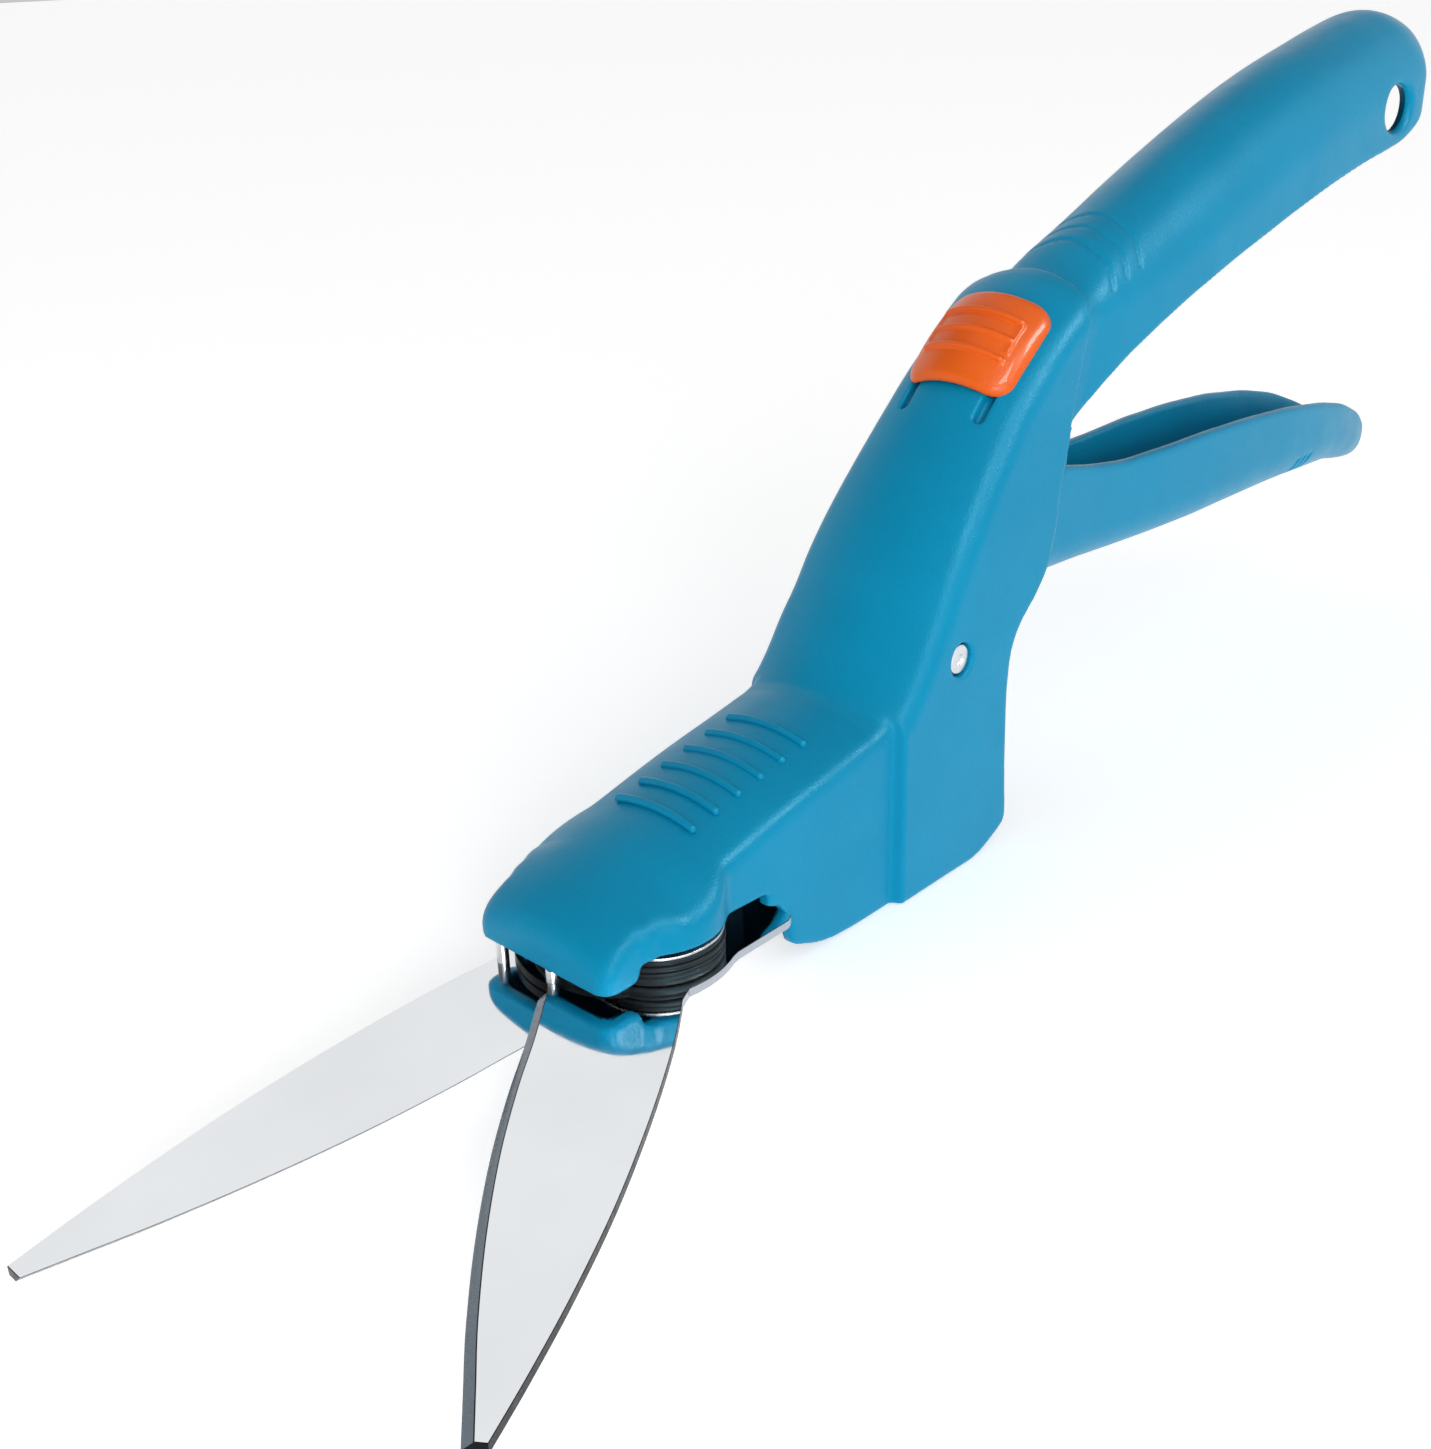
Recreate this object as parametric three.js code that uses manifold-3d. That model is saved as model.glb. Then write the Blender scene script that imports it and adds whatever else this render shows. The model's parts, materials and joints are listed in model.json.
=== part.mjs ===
// One-handed grass shears. Millimetres, +Z up.
// The origin is on the blade pivot's axis, at the underside of the pivot bolt's head. Every
// height below is counted from the plane between the two blades, which is PLANE_Z above it.
// +X points to the blade tips, +Y to the side that the open upper blade swings out to.
import * as THREE from 'three';
import { mergeVertices } from 'three/addons/utils/BufferGeometryUtils.js';
import Module from 'manifold-3d';

const wasm = await Module();
wasm.setup();

// ---- Driving dimensions ----
const BLADE_T = 1.6;              // blade thickness
const BLADE_TIP = 101.5;          // pivot to blade tip
const BLADE_GAP = 0.15;           // running gap between the two blades
const BLADE_TOP = BLADE_GAP + BLADE_T;
const OPEN_ANGLE = 34.5;          // degrees between the blades at rest
const BEVEL = 1.7;                // width of the ground bevel along a cutting edge
const HUB_R = 19.1;               // upper blade's hub disc
const HUB_FRONT_R = 17.4;         // the same disc where it passes the stop pin
const ARM_EDGE_Y = 17.4;          // straight outer edge of the upper blade's rear arm, at rest
const ARM_REAR_X = -23.0;
const LOWER_SHIFT_Y = -0.3;       // the fixed blade sits this far to -Y of the mirrored upper one
const ROOT_Y = 12.8;              // half width of a blade at its root
const TANG_Y = 10.2;              // half width of the fixed tang
const TANG_END_X = -54;

const SHAFT_R = 3.0;              // pivot bolt
const BUSH_R = 4.4;               // sleeve that the upper blade turns on
const CRANK_PIN_R = 1.5;
const STOP_PIN_R = 1.0;           // the heel pin has the same radius
const STOP_PIN_AT = new THREE.Vector2(15.65, -11.25);
const HEEL_PIN_FROM_PIVOT = 16.2;
const HEEL_PIN_ANGLE = -30.5;     // degrees, with the blades closed
const TANG_SCREW_X = [-34, -46];
const TANG_SCREW_HEAD_R = 3.1;
const TANG_SCREW_R = 1.4;
const BOLT_HEAD_T = 2.6;
const BOLT_HEAD_TOP = -BLADE_T - 0.15;
const PLANE_Z = BOLT_HEAD_T - BOLT_HEAD_TOP;
const BORE_PLAY = 0.12;           // radial clearance of a pin in its bore
const RING_R = 10.8;              // end radius of the slide rings, long across the blades
const RING_BORE_R = 6.9;
const RING_HALF = 7.5;            // half distance between the centres of their two round ends
const RING_X = -0.6;
const DISC_R = 14.6;              // round middle of the driver disc
const DISC_FLOOR = 1.95;          // underside of the driver disc
const DISC_TOP = 4.2;
const RING_LEVELS = [4.45, 5.3, 5.45, 6.3, 6.45, 7.05]; // lower ring, upper ring, wave spring

const WALL = 2.6;                 // housing wall
const LIP_Z = 4.4;                // underside of the nose's front lip
const RIM_Z = 7.4;                // underside of the nose around the slide rings
const SKIRT_Z = -9.4;             // flat underside of the rear housing
const SKIRT_W = 17.6;             // half width of the rear housing
const NOSE_W = 15.7;              // half width of the nose
const PIN_TOP = LIP_Z - 0.3;      // top of the stop pin and the heel pin
const HOLE_AT = new THREE.Vector2(-228.5, 109); // hanging hole, x, z
const HOLE_HALF = [6.2, 4.9];     // along, up

const LEVER_PIVOT = new THREE.Vector2(-67.2, 32.4); // x, z
const LEVER_PIN_R = 2.7;
const LEVER_SWEEP = 15;           // degrees of squeeze
const LEVER_HUB_R = 6.2;
const LEVER_WALL = 2.6;
const ARM_DROP = 23.6;            // lever pivot to rod pin
const CRANK_R = 9.68;             // crank pin's distance from the blade pivot
const CLOSE_ANGLE = 36.5;         // degrees the upper blade turns for a full squeeze
const ROD_Z = 9.3;                // middle of the pull rod's thickness
const ROD_T = 2.0;
const ROD_PIN_R = 1.5;
const EYE_SLACK_Y = 0.55;         // the crank pin swings this far sideways in the rod's eye
const EYE_SLACK_Z = 0.25;         // and the lever's pin this far down in the other one

const SPRING_X = -84.5;           // return spring, upright between the lever and the dome
const SPRING_R = 4.6;
const SPRING_WIRE_R = 0.65;
const SPRING_SEAT_Z = 44.5;
const SPRING_TOP_Z = 64.5;
const SPRING_GUIDE_Z = 61;
const SPRING_TURNS = 5;

const SLIDER_AT = new THREE.Vector2(-93.6, 80.0); // on the dome's centre line, x, z
const SLIDER_TILT = 38;           // degrees the dome falls forward there
const SLIDER_TRAVEL = 5.5;
const SLIDER_HALF = [10.2, 10.9]; // along, across
const SLOT_Y = 7.9;               // the two guide slots, each side of the centre line
const SLOT_HALF = 0.9;
const GROOVE_END = 15.2;          // each slot runs on as a shallow groove in front of the slider
const GROOVE_DEPTH = 1.6;
const LEG_FROM = -4;              // the slider's two legs, along its travel
const LEG_TO = 3;
const LEG_HALF_T = 0.6;

const RIB_PITCH = 5.46;           // grip ribs on the nose
const RIB_COUNT = 6;
const RIB_HALF = 8.9;
const RIB_FIRST_X = -8.5;

const rad = THREE.MathUtils.degToRad;
const v2 = (x, y) => new THREE.Vector2(x, y);
const polar = (radius, degrees) => v2(radius * Math.cos(rad(degrees)), radius * Math.sin(rad(degrees)));

// ---- Solids from three.js geometry ----
function solidOf(geometry) {
  const bare = geometry.index ? geometry.clone() : geometry;
  bare.deleteAttribute('normal');
  bare.deleteAttribute('uv');
  const merged = mergeVertices(bare, 1e-4);
  return new wasm.Manifold(new wasm.Mesh({
    numProp: 3,
    vertProperties: new Float32Array(merged.attributes.position.array),
    triVerts: new Uint32Array(merged.index.array),
  }));
}

function geometryOf(solid) {
  const mesh = solid.getMesh();
  const geometry = new THREE.BufferGeometry();
  geometry.setAttribute('position', new THREE.BufferAttribute(new Float32Array(mesh.vertProperties), 3));
  geometry.setIndex(new THREE.BufferAttribute(new Uint32Array(mesh.triVerts), 1));
  return geometry;
}

function rectangle(xLow, yLow, xHigh, yHigh) {
  return [v2(xLow, yLow), v2(xHigh, yLow), v2(xHigh, yHigh), v2(xLow, yHigh)];
}

// A flat outline in x, y raised from zLow to zHigh.
function plate(outline, zLow, zHigh) {
  const shape = outline instanceof THREE.Shape ? outline : new THREE.Shape(outline);
  const depth = zHigh - zLow;
  const geometry = new THREE.ExtrudeGeometry(shape, { depth, bevelEnabled: false, curveSegments: 24 });
  return solidOf(geometry.translate(0, 0, zLow));
}

// A flat outline in x, z carried across from yLow to yHigh.
function sidePrism(outline, yLow, yHigh) {
  const depth = yHigh - yLow;
  const geometry = new THREE.ExtrudeGeometry(new THREE.Shape(outline), { depth, bevelEnabled: false });
  return solidOf(geometry.rotateX(Math.PI / 2).translate(0, yHigh, 0));
}

function post(radius, x, y, zLow, zHigh, segments = 32) {
  const geometry = new THREE.CylinderGeometry(radius, radius, zHigh - zLow, segments);
  return solidOf(geometry.rotateX(Math.PI / 2).translate(x, y, (zLow + zHigh) / 2));
}

function crossPost(radius, x, z, yLow, yHigh, segments = 32) {
  const geometry = new THREE.CylinderGeometry(radius, radius, yHigh - yLow, segments);
  return solidOf(geometry.translate(x, (yLow + yHigh) / 2, z));
}

// A round piece turned about its own vertical axis from radius, height pairs.
function turned(profile, x, y, segments = 40) {
  const geometry = new THREE.LatheGeometry(profile.map(([r, z]) => v2(r, z)), segments);
  return solidOf(geometry.rotateX(Math.PI / 2).translate(x, y, 0));
}

// Same-sized loops of points joined one after another along x or y, with both ends closed.
function loft(loops, axis = 'x') {
  const flatten = axis === 'x' ? (p) => v2(p.y, p.z) : (p) => v2(p.z, p.x);
  const isBackward = loops[0][0][axis] > loops[loops.length - 1][0][axis];
  const isClockwise = THREE.ShapeUtils.area(loops[0].map(flatten)) < 0;
  const ordered = (isBackward ? [...loops].reverse() : loops)
    .map((loop) => (isClockwise ? [...loop].reverse() : loop));
  const count = ordered[0].length;
  const last = (ordered.length - 1) * count;
  const positions = [];
  const index = [];
  ordered.forEach((loop) => loop.forEach((p) => positions.push(p.x, p.y, p.z)));
  for (let i = 0; i < last; i += count) {
    for (let j = 0; j < count; j += 1) {
      const a = i + j;
      const b = i + ((j + 1) % count);
      index.push(a, b, b + count, a, b + count, a + count);
    }
  }
  THREE.ShapeUtils.triangulateShape(ordered[0].map(flatten), [])
    .forEach(([a, b, c]) => index.push(a, c, b));
  THREE.ShapeUtils.triangulateShape(ordered[ordered.length - 1].map(flatten), [])
    .forEach(([a, b, c]) => index.push(last + a, last + b, last + c));
  const geometry = new THREE.BufferGeometry();
  geometry.setAttribute('position', new THREE.Float32BufferAttribute(positions, 3));
  geometry.setIndex(index);
  return solidOf(geometry);
}

// ---- Housing: nose, dome, skirt and upper handle in one moulding ----
// Each section: x and z of the top centre line, half width w, drop from the centre line to
// the side crease, arc of the crown in degrees, lean of the section plane in degrees, and the
// half width at the foot of the side walls where it differs from w.
const BODY_SECTIONS = [
  { x: 17.4, z: 11.0, w: 12.4, drop: 1.2, arc: 30, lean: 0 },
  { x: 15.5, z: 13.0, w: 13.8, drop: 2.2, arc: 35, lean: 0 },
  { x: 12, z: 14.9, w: 14.9, drop: 3.4, arc: 40, lean: 0 },
  { x: 8.4, z: 16.4, w: 14.8, drop: 3.4, arc: 45, lean: 0 },
  { x: 6, z: 17.3, w: 16.4, drop: 4.6, arc: 50, lean: 0 },
  { x: 4, z: 18.0, w: 17.4, drop: 5.2, arc: 50, lean: 0 },
  { x: 1, z: 19.0, w: 18.4, drop: 6.2, arc: 50, lean: 0 },
  { x: -1.5, z: 19.8, w: 18.6, drop: 6.4, arc: 50, lean: 0 },
  { x: -4, z: 20.5, w: 18.0, drop: 6.2, arc: 50, lean: 0 },
  { x: -6.4, z: 21.1, w: 16.3, drop: 5.0, arc: 45, lean: 0 },
  { x: -7.6, z: 21.3, w: 15.8, drop: 4.5, arc: 40, lean: 0 },
  { x: -10, z: 21.9, w: NOSE_W, drop: 4.3, arc: 36, lean: 0 },
  { x: -24, z: 24.6, w: NOSE_W, drop: 4.3, arc: 36, lean: 0 },
  { x: -36, z: 26.5, w: NOSE_W, drop: 4.3, arc: 36, lean: 0 },
  { x: -47, z: 28.3, w: NOSE_W, drop: 4.4, arc: 36, lean: 0 },
  { x: -49, z: 29.8, w: 15.9, drop: 5.5, arc: 36, lean: 0 },
  { x: -51, z: 32.6, w: 17.2, drop: 7.8, arc: 40, lean: 0 },
  { x: -53, z: 35.6, w: SKIRT_W, drop: 9.0, arc: 40, lean: 0, foot: SKIRT_W },
  { x: -58, z: 42.0, w: 17.5, drop: 8.7, arc: 40, lean: 0, foot: SKIRT_W },
  { x: -63, z: 49.2, w: 17.1, drop: 7.4, arc: 40, lean: 0, foot: SKIRT_W },
  { x: -70, z: 58.0, w: 16.5, drop: 6.4, arc: 40, lean: 0, foot: SKIRT_W },
  { x: -77, z: 65.6, w: 15.7, drop: 5.8, arc: 40, lean: 0, foot: SKIRT_W },
  { x: -84, z: 72.3, w: 14.9, drop: 5.3, arc: 40, lean: 2, foot: SKIRT_W },
  { x: -93, z: 79.8, w: 14.3, drop: 5.0, arc: 42, lean: 8, foot: 15.6 },
  { x: -102, z: 86.4, w: 14.2, drop: 5.0, arc: 48, lean: 14 },
  { x: -107.5, z: 89.2, w: 13.8, drop: 5.6, arc: 55, lean: 17 },
  { x: -112.5, z: 90.6, w: 12.6, drop: 6.6, arc: 62, lean: 18 },
  { x: -118, z: 93.0, w: 12.9, drop: 7.8, arc: 66, lean: 18 },
  { x: -132, z: 97.6, w: 13.4, drop: 8.6, arc: 70, lean: 18 },
  { x: -150, z: 103.6, w: 14.0, drop: 9.2, arc: 72, lean: 18 },
  { x: -168, z: 110.3, w: 14.5, drop: 9.6, arc: 72, lean: 17 },
  { x: -186, z: 116.0, w: 15.0, drop: 10.0, arc: 72, lean: 16 },
  { x: -206, z: 121.9, w: 15.3, drop: 10.4, arc: 72, lean: 13 },
  { x: -222, z: 125.6, w: 15.4, drop: 11.0, arc: 76, lean: 8 },
  { x: -238, z: 128.5, w: 15.4, drop: 13.0, arc: 82, lean: 0 },
  { x: -244.5, z: 127.4, w: 14.6, drop: 13.2, arc: 86, lean: 0 },
  { x: -249.2, z: 124.8, w: 12.4, drop: 11.4, arc: 86, lean: 0 },
  { x: -252.3, z: 121.3, w: 9.4, drop: 8.6, arc: 86, lean: 0 },
  { x: -254.4, z: 117.2, w: 5.4, drop: 5.0, arc: 86, lean: 0 },
];
const CROWN_STEPS = 10;
const SECTION_DEPTH = 75;         // every section reaches below the skirt's lower edge

function bodyLoop(section, inset) {
  const w = section.w - inset;
  const lean = rad(section.lean);
  const loop = [];
  const add = (y, down) => loop.push(new THREE.Vector3(
    section.x - down * Math.sin(lean), y, section.z - inset - down * Math.cos(lean)));
  const foot = (section.foot ?? section.w) - inset;
  add(-foot, SECTION_DEPTH);
  add(foot, SECTION_DEPTH);
  const arc = rad(section.arc);
  for (let i = 0; i <= CROWN_STEPS; i += 1) {
    const t = arc * (1 - (2 * i) / CROWN_STEPS);
    add((w * Math.sin(t)) / Math.sin(arc), (section.drop * (1 - Math.cos(t))) / (1 - Math.cos(arc)));
  }
  return loop;
}

// Side view outline that trims the moulding: its lower and rear edges run front to back.
const TRIM_EDGE = [
  [22, LIP_Z], [11.6, LIP_Z], [10, 5.2], [9.2, RIM_Z], [-18.3, 7.1], [-17.9, 4.8], [-20.5, 4.1],
  [-22.9, 2.8], [-23.6, 1.2], [-23.8, -4.8], [-31, -8.1], [-36, SKIRT_Z], [-73.5, SKIRT_Z],
  [-83, -5.2], [-82.2, 8], [-81.8, 24], [-82.7, 29.5], [-84.8, 33.2], [-90.3, 37.8], [-94.3, 42],
  [-97.4, 49], [-100, 57.5], [-102.6, 61.4], [-106.5, 63.8], [-114.7, 68.8], [-123.4, 73.4],
  [-138.3, 79.4], [-155.3, 84.9], [-173.4, 89.9], [-190, 94.2], [-212, 98.7], [-226, 100.8],
  [-233.5, 102], [-240.5, 105.2], [-245, 109.6], [-250, 113.2], [-260, 117],
];

function rib(index) {
  const slope = rad(10);
  const x = RIB_FIRST_X - index * RIB_PITCH * Math.cos(slope);
  const top = 21.6 + (RIB_FIRST_X - x) * Math.tan(slope);
  const crown = 30;
  const ridge = [];
  for (let i = -6; i <= 6; i += 1) {
    const y = (i * RIB_HALF) / 6;
    ridge.push(new THREE.Vector3(x, y, top - (y * y) / (2 * crown)));
  }
  return alongRidge([v2(-0.7, -0.9), v2(0.7, -0.9), v2(0.5, 0.9), v2(-0.5, 0.9)], ridge);
}

// An x, z section carried across along a ridge line, always kept upright.
function alongRidge(section, ridge) {
  return loft(ridge.map((p) => section.map((q) => new THREE.Vector3(p.x + q.x, p.y, p.z + q.y))), 'y');
}

function tangBoss(x) {
  return post(3.6, x, 0, 0.3, 30);
}

function sliderFrame(solid) {
  return solid.rotate([0, SLIDER_TILT, 0]).translate([SLIDER_AT.x, 0, SLIDER_AT.y]);
}

function slotCut(from, to, y, zLow) {
  return plate(rectangle(from, y - SLOT_HALF, to, y + SLOT_HALF), zLow, 8);
}

// Through slots for the slider's legs, with a shallow groove in front of each.
function sliderSlots() {
  const play = 0.5;
  const crownDrop = 0.9;
  const cuts = [-SLOT_Y, SLOT_Y].map((y) => slotCut(LEG_FROM - play, LEG_TO + SLIDER_TRAVEL + play, y, -12)
    .add(slotCut(0, GROOVE_END, y, -crownDrop - GROOVE_DEPTH)));
  return sliderFrame(cuts[0].add(cuts[1]));
}

function mainShell() {
  const outer = loft(BODY_SECTIONS.map((section) => bodyLoop(section, 0)));
  const hollow = BODY_SECTIONS.filter((section) => section.x < 15 && section.x > -250);
  const inner = loft(hollow.map((section) => bodyLoop(section, WALL)));
  const trim = TRIM_EDGE.map(([x, z]) => v2(x, z));
  trim.push(v2(-260, 150), v2(22, 150));
  let shell = outer.subtract(inner);
  TANG_SCREW_X.forEach((x) => {
    shell = shell.add(tangBoss(x).intersect(outer));
  });
  shell = shell.intersect(sidePrism(trim, -25, 25));
  for (let i = 0; i < RIB_COUNT; i += 1) {
    shell = shell.add(rib(i));
  }
  shell = shell.add(post(SPRING_R - 1.2, SPRING_X, 0, SPRING_GUIDE_Z, 90).intersect(outer));
  shell = shell.subtract(stadium(RING_R + 0.35, -20, RIM_Z - 0.15));
  TANG_SCREW_X.forEach((x) => {
    shell = shell.subtract(post(TANG_SCREW_R + 0.1, x, 0, -2, 9));
  });
  shell = shell.subtract(crossPost(LEVER_PIN_R + 0.3, LEVER_PIVOT.x, LEVER_PIVOT.y, -25, 25));
  const hole = crossPost(1, 0, 0, -25, 25).scale([HOLE_HALF[0], 1, HOLE_HALF[1]]);
  shell = shell.subtract(hole.translate([HOLE_AT.x, 0, HOLE_AT.y]));
  return shell.subtract(sliderSlots());
}

// ---- Blades ----
// The cutting edge and the back of one blade, pivot at the origin, cutting edge on -Y.
const BLADE_HEEL = v2(17.1, -10.0);
const BLADE_SHOULDER = v2(16.8, 12.6);
const bladeEdge = new THREE.SplineCurve([
  BLADE_HEEL, v2(29, -9.1), v2(41, -8.6), v2(55, -7.4), v2(70, -5.2), v2(84, -2.4), v2(94, 0.1),
  v2(BLADE_TIP, 2.0)]);
const bladeBack = new THREE.SplineCurve([
  v2(BLADE_TIP, 5.3), v2(91, 7.4), v2(78, 9.6), v2(62, 11.6), v2(44, 12.8), v2(28, 13.1),
  BLADE_SHOULDER]);
const EDGE_STEPS = 18;

// A plate whose upper and lower outlines have the same points, so that its sides may slope.
function ruledPlate(lower, upper, zLow, zHigh) {
  const count = lower.length;
  const positions = [];
  lower.forEach((p) => positions.push(p.x, p.y, zLow));
  upper.forEach((p) => positions.push(p.x, p.y, zHigh));
  const index = [];
  for (let i = 0; i < count; i += 1) {
    const j = (i + 1) % count;
    index.push(i, j, count + j, i, count + j, count + i);
  }
  THREE.ShapeUtils.triangulateShape(lower, [])
    .forEach(([a, b, c]) => index.push(a, c, b));
  THREE.ShapeUtils.triangulateShape(upper, [])
    .forEach(([a, b, c]) => index.push(count + a, count + b, count + c));
  const geometry = new THREE.BufferGeometry();
  geometry.setAttribute('position', new THREE.Float32BufferAttribute(positions, 3));
  geometry.setIndex(index);
  return solidOf(geometry);
}

function arcPoints(radius, from, to, steps) {
  const points = [];
  for (let i = 0; i <= steps; i += 1) {
    points.push(polar(radius, from + ((to - from) * i) / steps));
  }
  return points;
}

// Upper blade in its closed position: edge, tip, back, hub, rear arm and front of the hub.
function upperOutline(bevel) {
  const edge = bladeEdge.getPoints(EDGE_STEPS).map((p) => v2(p.x, p.y + bevel));
  const back = bladeBack.getPoints(EDGE_STEPS);
  const turn = (x, y) => v2(x, y).rotateAround(v2(0, 0), rad(-OPEN_ANGLE));
  const hubFlank = arcPoints(HUB_R, 78 - OPEN_ANGLE, 112 - OPEN_ANGLE, 8);
  const arm = [turn(-8.6, ARM_EDGE_Y), turn(-20.7, ARM_EDGE_Y), turn(-22.4, 16.6),
    turn(ARM_REAR_X, 14.8), turn(ARM_REAR_X, 5), turn(-21.5, 0), turn(-17.6, -3.5)];
  const hubFront = arcPoints(HUB_FRONT_R, 192 - OPEN_ANGLE, 364 - OPEN_ANGLE, 22);
  return [...edge, ...back, ...hubFlank, ...arm, ...hubFront];
}

function upperBlade() {
  const zLow = BLADE_GAP;
  const body = ruledPlate(upperOutline(0), upperOutline(BEVEL), zLow, zLow + BLADE_T);
  return body
    .subtract(post(BUSH_R + BORE_PLAY, 0, 0, -1, 4))
    .subtract(post(CRANK_PIN_R + 0.05, ...CRANK_AT_CLOSED, -1, 4));
}

function lowerOutline(bevel) {
  const edge = bladeEdge.getPoints(EDGE_STEPS).map((p) => v2(p.x, LOWER_SHIFT_Y - p.y - bevel));
  const back = bladeBack.getPoints(EDGE_STEPS).map((p) => v2(p.x, LOWER_SHIFT_Y - p.y));
  const corner = 3;
  const tangNeck = -12;
  const tang = [v2(4, -ROOT_Y), v2(-5, -12.3), v2(tangNeck, -TANG_Y), v2(TANG_END_X + corner, -TANG_Y),
    v2(TANG_END_X, corner - TANG_Y), v2(TANG_END_X, TANG_Y - corner), v2(TANG_END_X + corner, TANG_Y),
    v2(tangNeck, TANG_Y), v2(-6, 12), v2(0, 13), v2(8, 12.4)];
  const loop = [...back.reverse(), ...edge.reverse(), ...tang.reverse()];
  return THREE.ShapeUtils.area(loop) > 0 ? loop : loop.reverse();
}

function lowerBlade() {
  let blade = ruledPlate(lowerOutline(BEVEL), lowerOutline(0), -BLADE_T, 0)
    .subtract(post(BUSH_R + BORE_PLAY, 0, 0, -4, 2))
    .subtract(post(STOP_PIN_R + 0.05, STOP_PIN_AT.x, STOP_PIN_AT.y, -4, 2));
  TANG_SCREW_X.forEach((x) => {
    blade = blade.subtract(post(TANG_SCREW_R + 0.5, x, 0, -4, 2));
  });
  return blade;
}

// ---- Pivot stack ----
const CRANK_ANGLE = -90 + CLOSE_ANGLE / 2;
const CRANK_AT = polar(CRANK_R, CRANK_ANGLE);
const CRANK_AT_CLOSED = polar(CRANK_R, CRANK_ANGLE - OPEN_ANGLE).toArray();
const HEEL_PIN_AT = polar(HEEL_PIN_FROM_PIVOT, HEEL_PIN_ANGLE);

function pivotBolt() {
  const top = BOLT_HEAD_TOP;
  return turned([[0, -PLANE_Z], [4.4, -PLANE_Z], [5.6, 1.2 - PLANE_Z], [5.6, top], [SHAFT_R, top],
    [SHAFT_R, 11], [SHAFT_R - 0.6, 11.6], [0, 11.6]], 0, 0);
}

function pivotBush() {
  const sleeve = post(BUSH_R, 0, 0, -BLADE_T, DISC_TOP + 0.1);
  return sleeve.subtract(post(SHAFT_R + BORE_PLAY, 0, 0, -4, 6));
}

function washer(outer, zLow, zHigh) {
  return post(outer, 0, 0, zLow, zHigh).subtract(post(SHAFT_R + BORE_PLAY, 0, 0, zLow - 1, zHigh + 1));
}

function pivotNut() {
  return post(4.6, 0, 0, 6.6, 10.0, 6).subtract(post(SHAFT_R + BORE_PLAY, 0, 0, 6, 11));
}

// A block with straight front and back and two round ends, long across the blades.
function stadium(radius, zLow, zHigh, half = RING_HALF) {
  const outline = [];
  const step = 9;
  for (let angle = 0; angle <= 180; angle += step) {
    outline.push(polar(radius, angle).add(v2(RING_X, half)));
  }
  for (let angle = 180; angle <= 360; angle += step) {
    outline.push(polar(radius, angle).add(v2(RING_X, -half)));
  }
  return plate(outline, zLow, zHigh);
}

function slideRing(radius, [zLow, zHigh]) {
  return stadium(radius, zLow, zHigh).subtract(stadium(RING_BORE_R, zLow - 1, zHigh + 1));
}

// Black disc that turns with the upper blade, drawn in the open position and turned back.
function driverDisc() {
  const grooveTop = DISC_TOP - 0.7;
  const grooveFloor = grooveTop - 0.3;
  const grooveDepth = 0.5;
  const lobes = stadium(RING_R - 0.1, DISC_FLOOR, DISC_TOP)
    .add(post(DISC_R, 0, 0, DISC_FLOOR, DISC_TOP, 72));
  const groove = stadium(RING_R + 3, grooveFloor, grooveTop)
    .subtract(stadium(RING_R - 0.1 - grooveDepth, 0, 9));
  const disc = lobes.subtract(groove).rotate([0, 0, -OPEN_ANGLE]);
  const [x, y] = CRANK_AT_CLOSED;
  return disc
    .subtract(post(BUSH_R + BORE_PLAY, 0, 0, 0, 9))
    .subtract(post(CRANK_PIN_R + 0.08, x, y, 0, 9, 24));
}

function crankPin() {
  const [x, y] = CRANK_AT_CLOSED;
  return turned([[0, BLADE_GAP + 0.1], [CRANK_PIN_R, BLADE_GAP + 0.1], [CRANK_PIN_R, ROD_Z + 2.4],
    [CRANK_PIN_R - 0.4, ROD_Z + 2.8], [0, ROD_Z + 2.8]], x, y, 24);
}

function crankCollar() {
  const [x, y] = CRANK_AT_CLOSED;
  return post(2.6, x, y, DISC_TOP + 0.15, ROD_Z - ROD_T / 2 - 0.15, 24)
    .subtract(post(CRANK_PIN_R + 0.08, x, y, 0, 12, 24));
}

function crankClip() {
  const [x, y] = CRANK_AT_CLOSED;
  const zLow = ROD_Z + ROD_T / 2 + 0.15;
  return post(2.8, x, y, zLow, zLow + 0.7, 24).subtract(post(CRANK_PIN_R + 0.05, x, y, 0, 14, 24));
}

function stopPin() {
  return turned([[0, -BLADE_T], [STOP_PIN_R, -BLADE_T], [STOP_PIN_R, PIN_TOP - 0.3],
    [STOP_PIN_R - 0.3, PIN_TOP], [0, PIN_TOP]], STOP_PIN_AT.x, STOP_PIN_AT.y, 24);
}

function heelPin() {
  const foot = BLADE_TOP + 0.05;
  return turned([[0, foot], [STOP_PIN_R, foot], [STOP_PIN_R, PIN_TOP - 0.3], [STOP_PIN_R - 0.3, PIN_TOP],
    [0, PIN_TOP]], HEEL_PIN_AT.x, HEEL_PIN_AT.y, 24);
}

function tangScrew(x) {
  const headTop = -BLADE_T - 1.55;
  const headLow = headTop - 2.2;
  const body = turned([[0, headLow], [TANG_SCREW_HEAD_R - 0.9, headLow], [TANG_SCREW_HEAD_R, headTop - 1.2],
    [TANG_SCREW_HEAD_R, headTop], [TANG_SCREW_R, headTop], [TANG_SCREW_R, 8.2], [0, 8.6]], x, 0, 24);
  const slot = plate(rectangle(x - 2.4, -0.4, x + 2.4, 0.4), headTop - 3, headTop - 1.4);
  return body.subtract(slot);
}

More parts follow.
